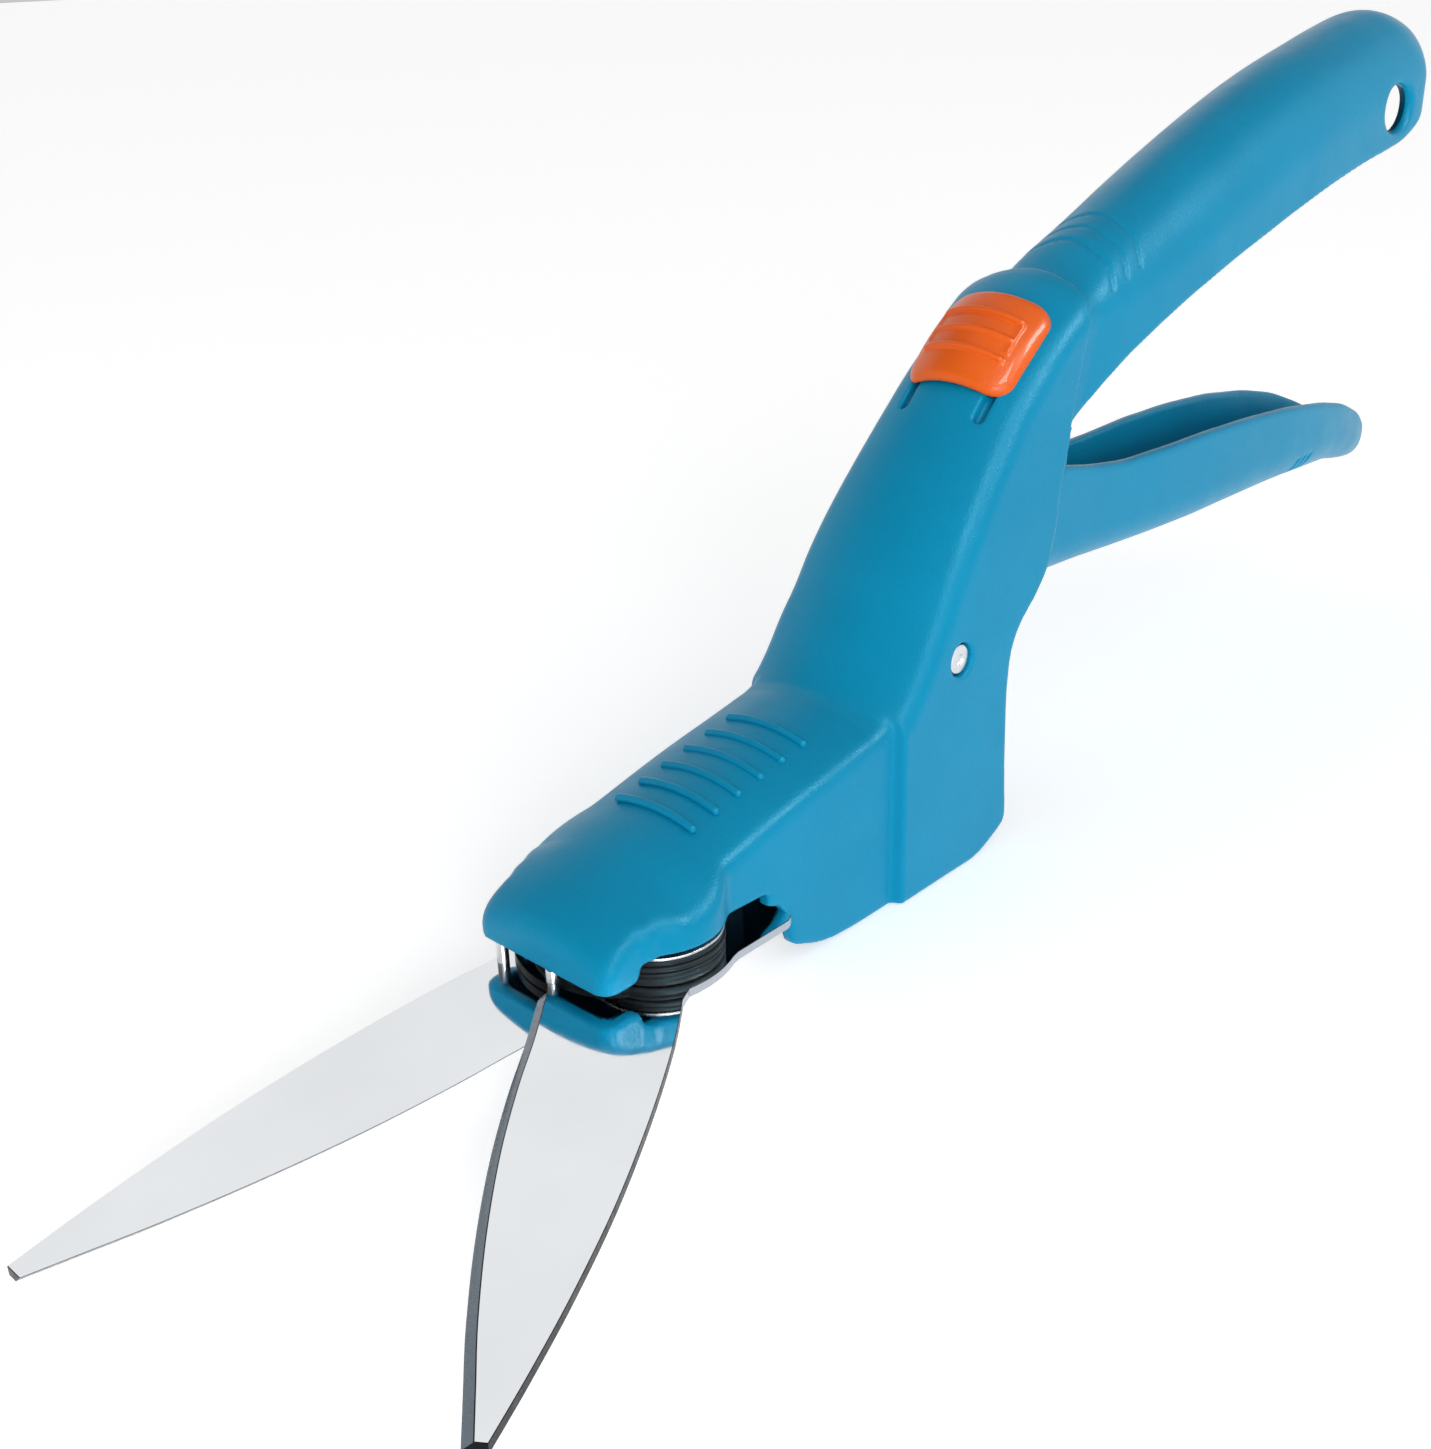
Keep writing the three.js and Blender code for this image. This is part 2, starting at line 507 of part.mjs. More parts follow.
function tangClamp() {
  const zHigh = -BLADE_T - 0.1;
  const thickness = 1.3;
  const margin = 5;
  const [front, rear] = TANG_SCREW_X;
  let clamp = plate(rectangle(rear - margin, -7, front + margin, 7), zHigh - thickness, zHigh);
  TANG_SCREW_X.forEach((x) => {
    clamp = clamp.subtract(post(TANG_SCREW_R + 0.3, x, 0, -8, 2, 24));
  });
  return clamp;
}

// ---- Lever ----
// Each section: x, rim height, underside height, half width at the rim and corner radius.
const LEVER_SECTIONS = [
  { x: -70, rim: 38.4, base: 26.6, w: 9.4, corner: 3 },
  { x: -80, rim: 46, base: 29.5, w: 9.4, corner: 4 },
  { x: -95, rim: 54, base: 32.4, w: 9.3, corner: 5 },
  { x: -110, rim: 55, base: 33.2, w: 9.1, corner: 5.5 },
  { x: -122, rim: 52.4, base: 32.5, w: 9.1, corner: 5.5 },
  { x: -134, rim: 50.6, base: 31.6, w: 9.4, corner: 5.5 },
  { x: -149, rim: 50.3, base: 30.7, w: 10.1, corner: 6 },
  { x: -165, rim: 50.2, base: 30.0, w: 10.8, corner: 6 },
  { x: -183, rim: 49.3, base: 29.7, w: 11.3, corner: 6 },
  { x: -202, rim: 47.6, base: 29.2, w: 11.5, corner: 6 },
  { x: -220, rim: 45.0, base: 28.1, w: 11.2, corner: 6 },
  { x: -233, rim: 42.0, base: 27.2, w: 10.3, corner: 6 },
  { x: -245, rim: 37.3, base: 24.8, w: 8.7, corner: 5 },
  { x: -253, rim: 32.8, base: 23.4, w: 6.8, corner: 4 },
  { x: -257.5, rim: 29.4, base: 23.0, w: 4.6, corner: 3 },
  { x: -259.5, rim: 27.6, base: 24.2, w: 2.6, corner: 1.5 },
];
const CORNER_STEPS = 4;
const CHANNEL_FRONT_X = -92;
const CHANNEL_REAR_X = -250;

function leverLoop(section, inset) {
  const w = section.w - inset;
  const base = section.base + inset;
  const radius = Math.max(section.corner - inset, 0.6);
  const top = inset > 0 ? section.rim + 20 : section.rim;
  const loop = [];
  for (let side = -1; side <= 1; side += 2) {
    for (let i = 0; i <= CORNER_STEPS; i += 1) {
      const t = rad(side < 0 ? 180 + (90 * i) / CORNER_STEPS : 270 + (90 * i) / CORNER_STEPS);
      const y = side * (w - radius) + radius * Math.cos(t);
      loop.push(new THREE.Vector3(section.x, y, base + radius + radius * Math.sin(t)));
    }
  }
  loop.push(new THREE.Vector3(section.x, w, top), new THREE.Vector3(section.x, -w, top));
  return loop;
}

const ROD_LEVER_ANGLE = LEVER_SWEEP / 2;
const ROD_REAR = v2(LEVER_PIVOT.x + ARM_DROP * Math.sin(rad(ROD_LEVER_ANGLE)), ROD_Z);
const ROD_Y = CRANK_AT.y;

function leverArm() {
  const r = 3.6;
  const { x, y: z } = LEVER_PIVOT;
  const eye = ROD_REAR;
  const outline = [v2(x - 5.5, z), v2(x - 3.4, z - 14), v2(eye.x - r, ROD_Z + 1.5),
    v2(eye.x - 2.6, ROD_Z - 2.5), v2(eye.x, ROD_Z - r), v2(eye.x + 2.6, ROD_Z - 2.5),
    v2(eye.x + r, ROD_Z + 1.5), v2(x + 6, z - 12), v2(x + 5.5, z)];
  return sidePrism(outline, ROD_Y - 4.4, ROD_Y + 1.8);
}

function lever() {
  const outer = loft(LEVER_SECTIONS.map((section) => leverLoop(section, 0)));
  const hollow = LEVER_SECTIONS.filter(({ x }) => x <= CHANNEL_FRONT_X && x >= CHANNEL_REAR_X);
  const channel = loft(hollow.map((section) => leverLoop(section, LEVER_WALL)));
  const hub = crossPost(LEVER_HUB_R, LEVER_PIVOT.x, LEVER_PIVOT.y, -13.2, 9.4, 40);
  const gapHalf = ROD_T / 2 + 0.3;
  const gapOutline = rectangle(ROD_REAR.x - 8, ROD_Z - 6, ROD_REAR.x + 8, ROD_Z + 5);
  const forkGap = sidePrism(gapOutline, ROD_Y - gapHalf, ROD_Y + gapHalf);
  return outer.subtract(channel)
    .add(hub)
    .add(leverArm())
    .subtract(forkGap)
    .subtract(post(SPRING_R + 1.4, SPRING_X, 0, SPRING_SEAT_Z, 80))
    .subtract(crossPost(LEVER_PIN_R + BORE_PLAY, LEVER_PIVOT.x, LEVER_PIVOT.y, -30, 30))
    .subtract(crossPost(ROD_PIN_R + 0.08, ROD_REAR.x, ROD_Z, -30, 30, 24));
}

// The pull rod: an upright strip at the lever's fork, twisted flat to an eye on the crank pin.
function pullRod() {
  const z0 = ROD_Z - ROD_T / 2;
  const z1 = ROD_Z + ROD_T / 2;
  const eye = post(3.4, CRANK_AT.x, CRANK_AT.y - EYE_SLACK_Y / 2, z0, z1, 28);
  const halfStrip = 1.6;
  const twistFrom = -50;
  const twistTo = -56;
  const tailHalf = 2.9;
  const strip = plate(rectangle(twistFrom - 2, ROD_Y - halfStrip, CRANK_AT.x, ROD_Y + halfStrip), z0, z1);
  const tail = sidePrism([v2(twistFrom, z0), v2(twistFrom, z1), v2(twistTo, ROD_Z + 2.6),
    v2(ROD_REAR.x, ROD_Z + tailHalf), v2(ROD_REAR.x - tailHalf, ROD_Z), v2(ROD_REAR.x, ROD_Z - tailHalf),
    v2(twistTo, ROD_Z - 2.6)], ROD_Y - ROD_T / 2, ROD_Y + ROD_T / 2);
  const crankHole = slottedHole(post, CRANK_PIN_R + BORE_PLAY, CRANK_AT.toArray(), EYE_SLACK_Y, [0, 20]);
  const leverHole = slottedHole(crossPost, ROD_PIN_R + BORE_PLAY, ROD_REAR.toArray(), EYE_SLACK_Z, [-30, 30]);
  return eye.add(strip).add(tail).subtract(crankHole).subtract(leverHole);
}

// A hole made longer by slack in its second coordinate's negative direction.
function slottedHole(make, radius, [a, b], slack, [from, to]) {
  const steps = 3;
  let hole = make(radius, a, b, from, to, 24);
  for (let i = 1; i <= steps; i += 1) {
    hole = hole.add(make(radius, a, b - (slack * i) / steps, from, to, 24));
  }
  return hole;
}

function rodPin() {
  const head = crossPost(2.5, ROD_REAR.x, ROD_Z, ROD_Y + 2.0, ROD_Y + 3.0, 24);
  return head.add(crossPost(ROD_PIN_R, ROD_REAR.x, ROD_Z, ROD_Y - 4.5, ROD_Y + 2.6, 24));
}

function leverPin() {
  const half = 17.1;
  return crossPost(LEVER_PIN_R, LEVER_PIVOT.x, LEVER_PIVOT.y, -half, half, 40);
}

function leverBush(yLow, yHigh) {
  const { x, y: z } = LEVER_PIVOT;
  return crossPost(4.8, x, z, yLow, yHigh)
    .subtract(crossPost(LEVER_PIN_R + BORE_PLAY, x, z, yLow - 1, yHigh + 1));
}

// Compression coil that stands in a pocket of the lever and pushes it down.
function returnSpring() {
  const stepsPerTurn = 12;
  const low = SPRING_SEAT_Z + SPRING_WIRE_R + 0.1;
  const high = SPRING_TOP_Z - SPRING_WIRE_R;
  const count = SPRING_TURNS * stepsPerTurn;
  const points = [];
  for (let i = 0; i <= count; i += 1) {
    const t = (i / stepsPerTurn) * 2 * Math.PI;
    const z = low + ((high - low) * i) / count;
    points.push(new THREE.Vector3(SPRING_X + SPRING_R * Math.cos(t), SPRING_R * Math.sin(t), z));
  }
  const wire = new THREE.Shape();
  wire.absarc(0, 0, SPRING_WIRE_R, 0, 2 * Math.PI);
  const extrudePath = new THREE.CatmullRomCurve3(points);
  const options = { steps: count, extrudePath, bevelEnabled: false, curveSegments: 3 };
  return solidOf(new THREE.ExtrudeGeometry(wire, options));
}

// ---- Lock ----
// Built flat, x along the slider's travel, then tilted onto the dome.
function lockSlider() {
  const [along, across] = SLIDER_HALF;
  const loops = [];
  const steps = 12;
  for (let i = 0; i <= steps; i += 1) {
    const y = across * (-1 + (2 * i) / steps);
    const end = Math.abs(y) / across;
    const half = along - 2.6 * end ** 6;
    const crown = -(y * y) / 44;
    const section = [v2(-half, 1.0), v2(half, 1.0), v2(half, 2.0), v2(half - 1, 2.9), v2(1 - half, 2.9),
      v2(-half, 2.0)];
    loops.push(section.map((p) => new THREE.Vector3(p.x, y, p.y + crown)));
  }
  let slider = loft(loops, 'y');
  for (let k = -1; k <= 1; k += 1) {
    const ridge = [];
    for (let i = -4; i <= 4; i += 1) {
      const y = (i * 9) / 4;
      ridge.push(new THREE.Vector3(k * 4.1 - 0.3, y, 2.9 - (y * y) / 44));
    }
    const ribSection = [v2(-0.6, -0.5), v2(0.6, -0.5), v2(0.35, 0.5), v2(-0.35, 0.5)];
    slider = slider.add(alongRidge(ribSection, ridge));
  }
  const leg = (y) => plate(rectangle(LEG_FROM, y - LEG_HALF_T, LEG_TO, y + LEG_HALF_T), -5.6, 1.2);
  return sliderFrame(slider.add(leg(SLOT_Y)).add(leg(-SLOT_Y)));
}

function lockBar() {
  const from = LEG_FROM + 0.2;
  const to = LEG_TO - 0.2;
  const hookEnd = from + 2;
  const hookHalf = 2.5;
  const barHalf = 10.4;
  const bar = plate(rectangle(from, -barHalf, to, barHalf), -7.4, -5.9);
  const hook = plate(rectangle(from, -hookHalf, hookEnd, hookHalf), -10.6, -7);
  return sliderFrame(bar.add(hook));
}

// ---- Materials ----
function material(color, roughness, metalness = 0) {
  return new THREE.MeshStandardMaterial({ color, roughness, metalness });
}

const bluePlastic = () => material(0x1893c4, 0.45);
const orangePlastic = () => material(0xf06418, 0.4);
const blackPlastic = () => material(0x17181a, 0.5);
const polishedSteel = () => material(0xe4e8ec, 0.08, 1);
const zincSteel = () => material(0xb8bcc2, 0.3, 1);
const springSteel = () => material(0x9fa4aa, 0.25, 1);

function piece(name, solid, finish) {
  const mesh = new THREE.Mesh(geometryOf(solid), finish);
  mesh.name = name;
  return mesh;
}

const housing = new THREE.Group();
housing.add(
  piece('main_shell', mainShell(), bluePlastic()),
  piece('lower_blade', lowerBlade(), polishedSteel()),
  piece('closing_stop_pin', stopPin(), zincSteel()),
  piece('pivot_bolt', pivotBolt(), zincSteel()),
  piece('pivot_bush', pivotBush(), springSteel()),
  piece('pivot_washer', washer(5.8, 4.45, 5.3), zincSteel()),
  piece('pivot_spring_washer', washer(5.2, 5.4, 6.45), springSteel()),
  piece('pivot_nut', pivotNut(), zincSteel()),
  piece('lower_slide_ring', slideRing(RING_R, RING_LEVELS.slice(0, 2)), blackPlastic()),
  piece('upper_slide_ring', slideRing(RING_R - 0.25, RING_LEVELS.slice(2, 4)), blackPlastic()),
  piece('wave_spring', slideRing(RING_R - 0.1, RING_LEVELS.slice(4, 6)), springSteel()),
  piece('tang_screw_front', tangScrew(TANG_SCREW_X[0]), zincSteel()),
  piece('tang_screw_rear', tangScrew(TANG_SCREW_X[1]), zincSteel()),
  piece('tang_clamp', tangClamp(), zincSteel()),
  piece('lever_pin', leverPin(), zincSteel()),
  piece('lever_bush_left', leverBush(9.6, 14.0), blackPlastic()),
  piece('return_spring', returnSpring(), springSteel()),
);

const upperBladeGroup = new THREE.Group();
upperBladeGroup.rotation.z = rad(OPEN_ANGLE);
upperBladeGroup.add(
  piece('upper_blade', upperBlade(), polishedSteel()),
  piece('driver_disc', driverDisc(), blackPlastic()),
  piece('heel_pin', heelPin(), zincSteel()),
  piece('crank_pin', crankPin(), zincSteel()),
  piece('crank_collar', crankCollar(), blackPlastic()),
  piece('crank_clip', crankClip(), springSteel()),
);

const leverGroup = new THREE.Group();
leverGroup.add(
  piece('lever', lever(), bluePlastic()),
  piece('rod_pin', rodPin(), zincSteel()),
);

const rodGroup = new THREE.Group();
rodGroup.add(piece('pull_rod', pullRod(), zincSteel()));

const lockGroup = new THREE.Group();
lockGroup.add(
  piece('lock_slider', lockSlider(), orangePlastic()),
  piece('lock_bar', lockBar(), zincSteel()),
);

const shears = new THREE.Group();
shears.add(housing, upperBladeGroup, leverGroup, rodGroup, lockGroup);
shears.position.z = PLANE_Z;

export default shears;
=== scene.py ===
"""Looks of the one-handed grass shears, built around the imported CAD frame. Metres, +Z up.

Shapes are worked out in millimetres in the blade frame: x forward from the blade pivot, z up
from the plane between the blades. PLANE_Z lifts them into the row frame. Sizes are in mm unless
a name or comment says otherwise.
"""
import json
import math

import bpy
import numpy as np
from mathutils import Matrix, Vector
from mathutils.geometry import tessellate_polygon


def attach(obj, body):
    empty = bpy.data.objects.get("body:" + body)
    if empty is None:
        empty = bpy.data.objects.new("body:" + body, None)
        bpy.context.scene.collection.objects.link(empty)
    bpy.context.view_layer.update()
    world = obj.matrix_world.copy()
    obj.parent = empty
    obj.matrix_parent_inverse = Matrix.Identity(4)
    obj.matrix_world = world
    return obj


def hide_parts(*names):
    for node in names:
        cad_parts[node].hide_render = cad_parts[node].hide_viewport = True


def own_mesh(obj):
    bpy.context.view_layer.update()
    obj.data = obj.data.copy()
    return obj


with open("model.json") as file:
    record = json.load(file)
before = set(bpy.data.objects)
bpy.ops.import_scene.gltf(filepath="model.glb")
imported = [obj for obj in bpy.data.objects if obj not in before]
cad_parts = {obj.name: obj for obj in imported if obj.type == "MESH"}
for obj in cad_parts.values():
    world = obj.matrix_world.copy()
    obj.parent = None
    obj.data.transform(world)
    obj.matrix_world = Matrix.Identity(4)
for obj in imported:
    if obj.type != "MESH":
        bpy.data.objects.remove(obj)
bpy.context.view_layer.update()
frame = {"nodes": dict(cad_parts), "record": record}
PLANE_Z = 4.35
MM = 0.001
VOXEL = 0.48          # grid step of the housing and the lever
SLIDER_VOXEL = 0.28
DISC_VOXEL = 0.28
SETTLE_PASSES = 3                            # times each grid vertex is moved onto the surface
SKIN_DEPTH = 1.8                             # faces deeper than this are inside ones, given a darker colour as painted shade


# ---------------------------------------------------------------- distance fields
def smax(a, b, k):
    """Largest of two fields with the corner between them rounded over about k."""
    h = np.maximum(k - np.abs(a - b), 0.0) / k
    return np.maximum(a, b) + h * h * k * 0.25


def smin(a, b, k):
    """Smallest of two fields with the corner between them rounded over about k."""
    return -smax(-a, -b, k)


def ramp(x, a, b):
    """0 before a, 1 after b, smooth between."""
    t = np.clip((x - a) / (b - a), 0, 1)
    return t * t * (3 - 2 * t)


def along(x, table):
    """Value at x from (x, value) pairs listed from the front of the tool to the back."""
    xs, values = np.array(table, float).T
    return np.interp(-x, -xs, values)


def polyline(points, step):
    """A smooth dense open line through the points (Catmull-Rom), about step apart."""
    p = np.array(points, float)
    n = len(p)
    out = []
    for i in range(n - 1):
        a, b, c, d = p[max(i - 1, 0)], p[i], p[i + 1], p[min(i + 2, n - 1)]
        t1 = max(np.linalg.norm(b - a), 1e-6) ** 0.5
        t2 = max(np.linalg.norm(c - b), 1e-6) ** 0.5
        t3 = max(np.linalg.norm(d - c), 1e-6) ** 0.5
        m1 = (c - b) + t2 * ((b - a) / t1 - (c - a) / (t1 + t2)) if i > 0 else c - b
        m2 = (c - b) + t2 * ((d - c) / t3 - (d - b) / (t2 + t3)) if i < n - 2 else c - b
        count = max(int(np.linalg.norm(c - b) / step), 1)
        for j in range(count):
            u = j / count
            u2, u3 = u * u, u * u * u
            out.append((2 * u3 - 3 * u2 + 1) * b + (u3 - 2 * u2 + u) * m1
                       + (-2 * u3 + 3 * u2) * c + (u3 - u2) * m2)
    out.append(p[-1])
    return np.array(out)


def line_distance(px, pz, line):
    """Signed distance to an open line: positive to the left of its direction of travel."""
    tiny = 1e-9
    best = np.full(px.shape, 1e9)
    sign = np.ones(px.shape)
    for a, b in zip(line[:-1], line[1:]):
        d = b - a
        t = np.clip(((px - a[0]) * d[0] + (pz - a[1]) * d[1]) / (d @ d), 0, 1)
        ex, ez = px - a[0] - t * d[0], pz - a[1] - t * d[1]
        dist2 = ex * ex + ez * ez
        cross = d[0] * (pz - a[1]) - d[1] * (px - a[0])
        closer = dist2 < best - tiny
        tie = np.abs(dist2 - best) <= tiny
        unsure = tie & (np.abs(cross) > tiny)
        sign = np.where(closer, np.sign(cross), sign)
        sign = np.where(unsure & (sign == 0), np.sign(cross), sign)
        best = np.minimum(best, dist2)
    sign = np.where(sign == 0, 1, sign)
    return np.sqrt(best) * sign


def surface_mesh(field, origin, step):
    """Vertices and quads of the surface where the field is zero (surface nets)."""
    inside = field < 0
    nx, ny, nz = field.shape
    cells = np.zeros((nx - 1, ny - 1, nz - 1), np.int8)
    for i in (0, 1):
        for j in (0, 1):
            for k in (0, 1):
                cells += inside[i:nx - 1 + i, j:ny - 1 + j, k:nz - 1 + k]
    mixed = (cells > 0) & (cells < 8)
    index = np.full(mixed.shape, -1, np.int64)
    ci, cj, ck = np.nonzero(mixed)
    index[ci, cj, ck] = np.arange(len(ci))
    total = np.zeros((len(ci), 3))
    count = np.zeros(len(ci))

    def corner(i, j, k):
        return field[ci + i, cj + j, ck + k]

    for axis in range(3):
        for u in (0, 1):
            for v in (0, 1):
                lo = [u, v]
                lo.insert(axis, 0)
                hi = list(lo)
                hi[axis] = 1
                fa, fb = corner(*lo), corner(*hi)
                cut = (fa < 0) != (fb < 0)
                t = np.where(cut, fa / np.where(cut, fa - fb, 1), 0)
                p = np.array(lo, float)[None, :].repeat(len(ci), 0)
                p[:, axis] += t
                total += np.where(cut[:, None], p, 0)
                count += cut
    verts = total / count[:, None] + np.stack([ci, cj, ck], 1)
    faces = []
    for axis in range(3):
        a = [slice(1, -1)] * 3
        b = [slice(1, -1)] * 3
        a[axis] = slice(0, -1)
        b[axis] = slice(1, None)
        sa, sb = inside[tuple(a)], inside[tuple(b)]
        for flip, crossing in ((False, sa & ~sb), (True, ~sa & sb)):
            base = np.stack(np.nonzero(crossing), 1) + 1
            base[:, axis] -= 1
            o1, o2 = [q for q in range(3) if q != axis]
            quad = []
            for du, dv in ((-1, -1), (0, -1), (0, 0), (-1, 0)):
                q = base.copy()
                q[:, o1] += du
                q[:, o2] += dv
                quad.append(index[q[:, 0], q[:, 1], q[:, 2]])
            quad = np.stack(quad, 1)
            if flip != (axis == 1):
                quad = quad[:, ::-1]
            faces.append(quad)
    return verts * step + origin, np.concatenate(faces)


def sample(field, origin, step, points):
    """Trilinear value of a grid field at points."""
    q = (points - origin) / step
    i = np.clip(np.floor(q).astype(int), 0, np.array(field.shape) - 2)
    f = q - i
    out = 0
    for a in (0, 1):
        for b in (0, 1):
            for c in (0, 1):
                w = f[:, 0] if a else 1 - f[:, 0]
                w = w * (f[:, 1] if b else 1 - f[:, 1])
                w = w * (f[:, 2] if c else 1 - f[:, 2])
                out = out + w * field[i[:, 0] + a, i[:, 1] + b, i[:, 2] + c]
    return out


def solid_from_field(name, make_field, low, high, step, body, nodes):
    """Builds the mesh of make_field(x, y, z) < 0 between the corners low and high.

    make_field may also return the field of the outer skin. Faces well below that skin then get
    material number 1, a darker colour painted there as the shade of the hollow inside.
    """
    low, high = np.array(low, float), np.array(high, float)
    axes = [np.arange(low[i], high[i] + step, step) for i in range(3)]
    x, y, z = axes[0][:, None, None], axes[1][None, :, None], axes[2][None, None, :]
    made = make_field(x, y, z)
    field, skin = made if isinstance(made, tuple) else (made, None)
    field = field.astype(np.float32)
    for axis in range(3):
        for end in (0, -1):  # the grid's own faces are outside, so the mesh is always closed
            edge = [slice(None)] * 3
            edge[axis] = end
            field[tuple(edge)] = np.maximum(field[tuple(edge)], 0.5)
    verts, faces = surface_mesh(field, low, step)
    least_slope2, longest_move = 0.05, 0.4 * step
    for _ in range(SETTLE_PASSES):
        value = sample(field, low, step, verts)
        grad = np.stack([sample(field, low, step, verts + e) - sample(field, low, step, verts - e)
                         for e in np.eye(3) * step * 0.5], 1) / step
        norm2 = np.maximum((grad * grad).sum(1), least_slope2)
        move = -(value / norm2)[:, None] * grad
        length = np.linalg.norm(move, axis=1, keepdims=True)
        verts = verts + move * np.minimum(1, longest_move / np.maximum(length, 1e-9))
    face_slots = None
    if skin is not None:
        depth = sample(skin, low, step, verts[faces].mean(1))
        face_slots = (depth < -SKIN_DEPTH).astype(int)
    return mesh_piece(name, verts, faces, body, nodes, face_slots)


def mesh_piece(name, verts, faces, body, nodes, face_slots=None):
    """A piece from vertices in mm, in the blade frame. face_slots: a material number per face."""
    v = np.array(verts, float) * MM
    v[:, 2] += PLANE_Z * MM
    me = bpy.data.meshes.new(name)
    if isinstance(faces, np.ndarray):
        me.vertices.add(len(v))
        me.vertices.foreach_set("co", v.ravel())
        me.loops.add(faces.size)
        me.loops.foreach_set("vertex_index", faces.ravel())
        me.polygons.add(len(faces))
        me.polygons.foreach_set("loop_start", np.arange(len(faces)) * faces.shape[1])
        me.update(calc_edges=True)
    else:
        me.from_pydata([tuple(p) for p in v], [], [tuple(int(i) for i in f) for f in faces])
    if face_slots is not None:
        me.polygons.foreach_set("material_index", face_slots)
    me.validate()
    me.polygons.foreach_set("use_smooth", [True] * len(me.polygons))
    ob = bpy.data.objects.new(name, me)
    bpy.context.scene.collection.objects.link(ob)
    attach(ob, body)
    if nodes:
        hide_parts(*nodes)
    return ob


# ---------------------------------------------------------------- housing
NOSE_W = 15.7                   # half width of the nose, less at its very front
NOSE_FRONT_INSET = 0.9
NOSE_FRONT_X = 17.7
NOSE_CORNER_R = 3.0
STEP_X = -50.6                  # where the nose steps out to the skirt
WALL = 2.5
RING_X = -0.6                   # long shape of the slide rings: two half circles
RING_HALF = 7.5
BULGE_R = 11.1                  # the nose's bulge around the rings
RING_ROOF_Z = 7.25              # underside of the nose over the rings
TOP_LINE = [
    (30, 1.5), (24, 6.0), (19, 9.7), (15.5, 12.4), (11, 15.0), (0, 19.2), (-12, 22.0),
    (-24, 24.5), (-36, 26.5), (-43, 27.7), (-47.3, 28.7), (-50.4, 31.6), (-55.1, 38.0),
    (-58.5, 42.4), (-62.2, 48.3), (-69.3, 57.3), (-76.7, 65.4), (-86.3, 75.1), (-93.1, 80.9),
    (-102.0, 87.3), (-107.7, 90.2), (-113.5, 91.3), (-120, 93.6), (-129, 96.8),
    (-145.1, 103.1), (-162, 109.2), (-179.8, 115.1), (-198, 120.3), (-216.9, 124.5),
    (-228, 126.8), (-238, 128.2), (-244.5, 127.1), (-249.2, 124.4), (-252.2, 121.0),
    (-253.8, 117.0), (-254.2, 112), (-254.2, 90)]
LOWER_EDGE = [
    (17.0, 4.5), (11.6, 4.5), (10.8, 4.8), (10.3, 5.6), (10.1, 6.6), (9.4, 7.4), (8.2, 7.5),
    (-14.5, 7.5), (-18.0, 6.9), (-17.9, 4.9), (-20.4, 3.8), (-22.4, 1.6), (-23.5, -2.4),
    (-24.0, -5.0), (-27.5, -6.8), (-31.4, -8.2), (-36, -9.0), (-42, -9.25), (-48, -9.3),
    (-66, -9.3), (-73.3, -9.25), (-76, -8.6), (-82.6, -5.3), (-83.0, -4.4), (-82.4, 6.0),
    (-81.9, 18), (-82.0, 24), (-82.9, 29.6), (-85.3, 33.6), (-90.3, 37.6), (-94.0, 41.8),
    (-96.4, 47), (-98.6, 54.6), (-100.4, 58.8), (-106.3, 63.7), (-114.7, 68.8),
    (-123.4, 73.4), (-138.3, 79.4), (-155.3, 84.9), (-173.4, 89.9), (-192.7, 94.8),
    (-213.5, 98.9), (-227, 100.9), (-233.5, 102.2), (-240.5, 105.4), (-245, 109.8),
    (-250, 113.4), (-262, 118.5)]
SKIRT_W = [(-10, 17.6), (30, 17.6), (33.7, 17.55), (40.8, 17.15), (50.8, 16.55), (59.5, 15.6),
           (69.3, 14.6), (77.1, 14.3), (83.6, 14.5), (120, 14.5)]         # (z, half width)
GRIP_W = [(-108, 11.9), (-114, 11.9), (-122, 12.7), (-133.9, 13.5), (-150.1, 14.2),
          (-185, 15.2), (-220.6, 15.4), (-260, 15.4)]                     # (leaning x, half width)
CROWN_R = [(18, 60), (10, 42), (2, 27), (-47, 30), (-60, 32), (-80, 27), (-95, 22), (-106, 24),
           (-122, 14), (-140, 13), (-250, 13)]                            # (x, radius across)
CREASE_R = [(10, 2.2), (-45, 2.2), (-55, 2.6), (-95, 3.0), (-106, 3.2), (-118, 5.0),
            (-140, 6.5), (-250, 6.5)]                                     # (x, top edge rounding)
WALLS = [(0, WALL), (-60, WALL), (-110, 2.6), (-200, 2.9), (-240, 3.2)]   # (x, wall)
LEAN = 0.32                     # lean of the sections of neck and handle
LEAN_Z = 80
LEAN_LOWEST_Z = 44
GRIP_END_X = -239.3
GRIP_END_R = 15.5
COLLAR_X = -107.5
NECK_DIP = 2.5                  # the neck lies this far below the collar
HOLLOW_STEP_SHIFT = -2.2        # the hollow steps later than the outside does, behind the step,
HOLLOW_COLLAR_SHIFT = 2.6       # and earlier ahead of the collar
NECK_GROOVES = 3
NECK_GROOVE_AT = (-122.5, 94)   # x and z of the first one
NECK_GROOVE_PITCH = (4.4, 1.5)
NECK_GROOVE_LEAN = 0.38
NECK_GROOVE_HALF = 0.34
NECK_GROOVE_DEPTH = 0.4
NECK_GROOVE_REACH = 12.3
NECK_GROOVE_DROP = 7.5
SCREW_X = (-34, -46)
BOSS_R = 3.6
BOSS_BORE_R = 1.5
BOSS_BORE_TOP_Z = 9
BOSS_FOOT_Z = 0.35
LEVER_PIN_AT = (-67.2, 32.4)
LEVER_PIN_HOLE_R = 3.05
HANG_HOLE = (-228.5, 109.0)
HANG_HOLE_HALF = (6.2, 4.9)
SLIDE_AT = (-93.6, 80.0)        # middle of the lock slider's guide
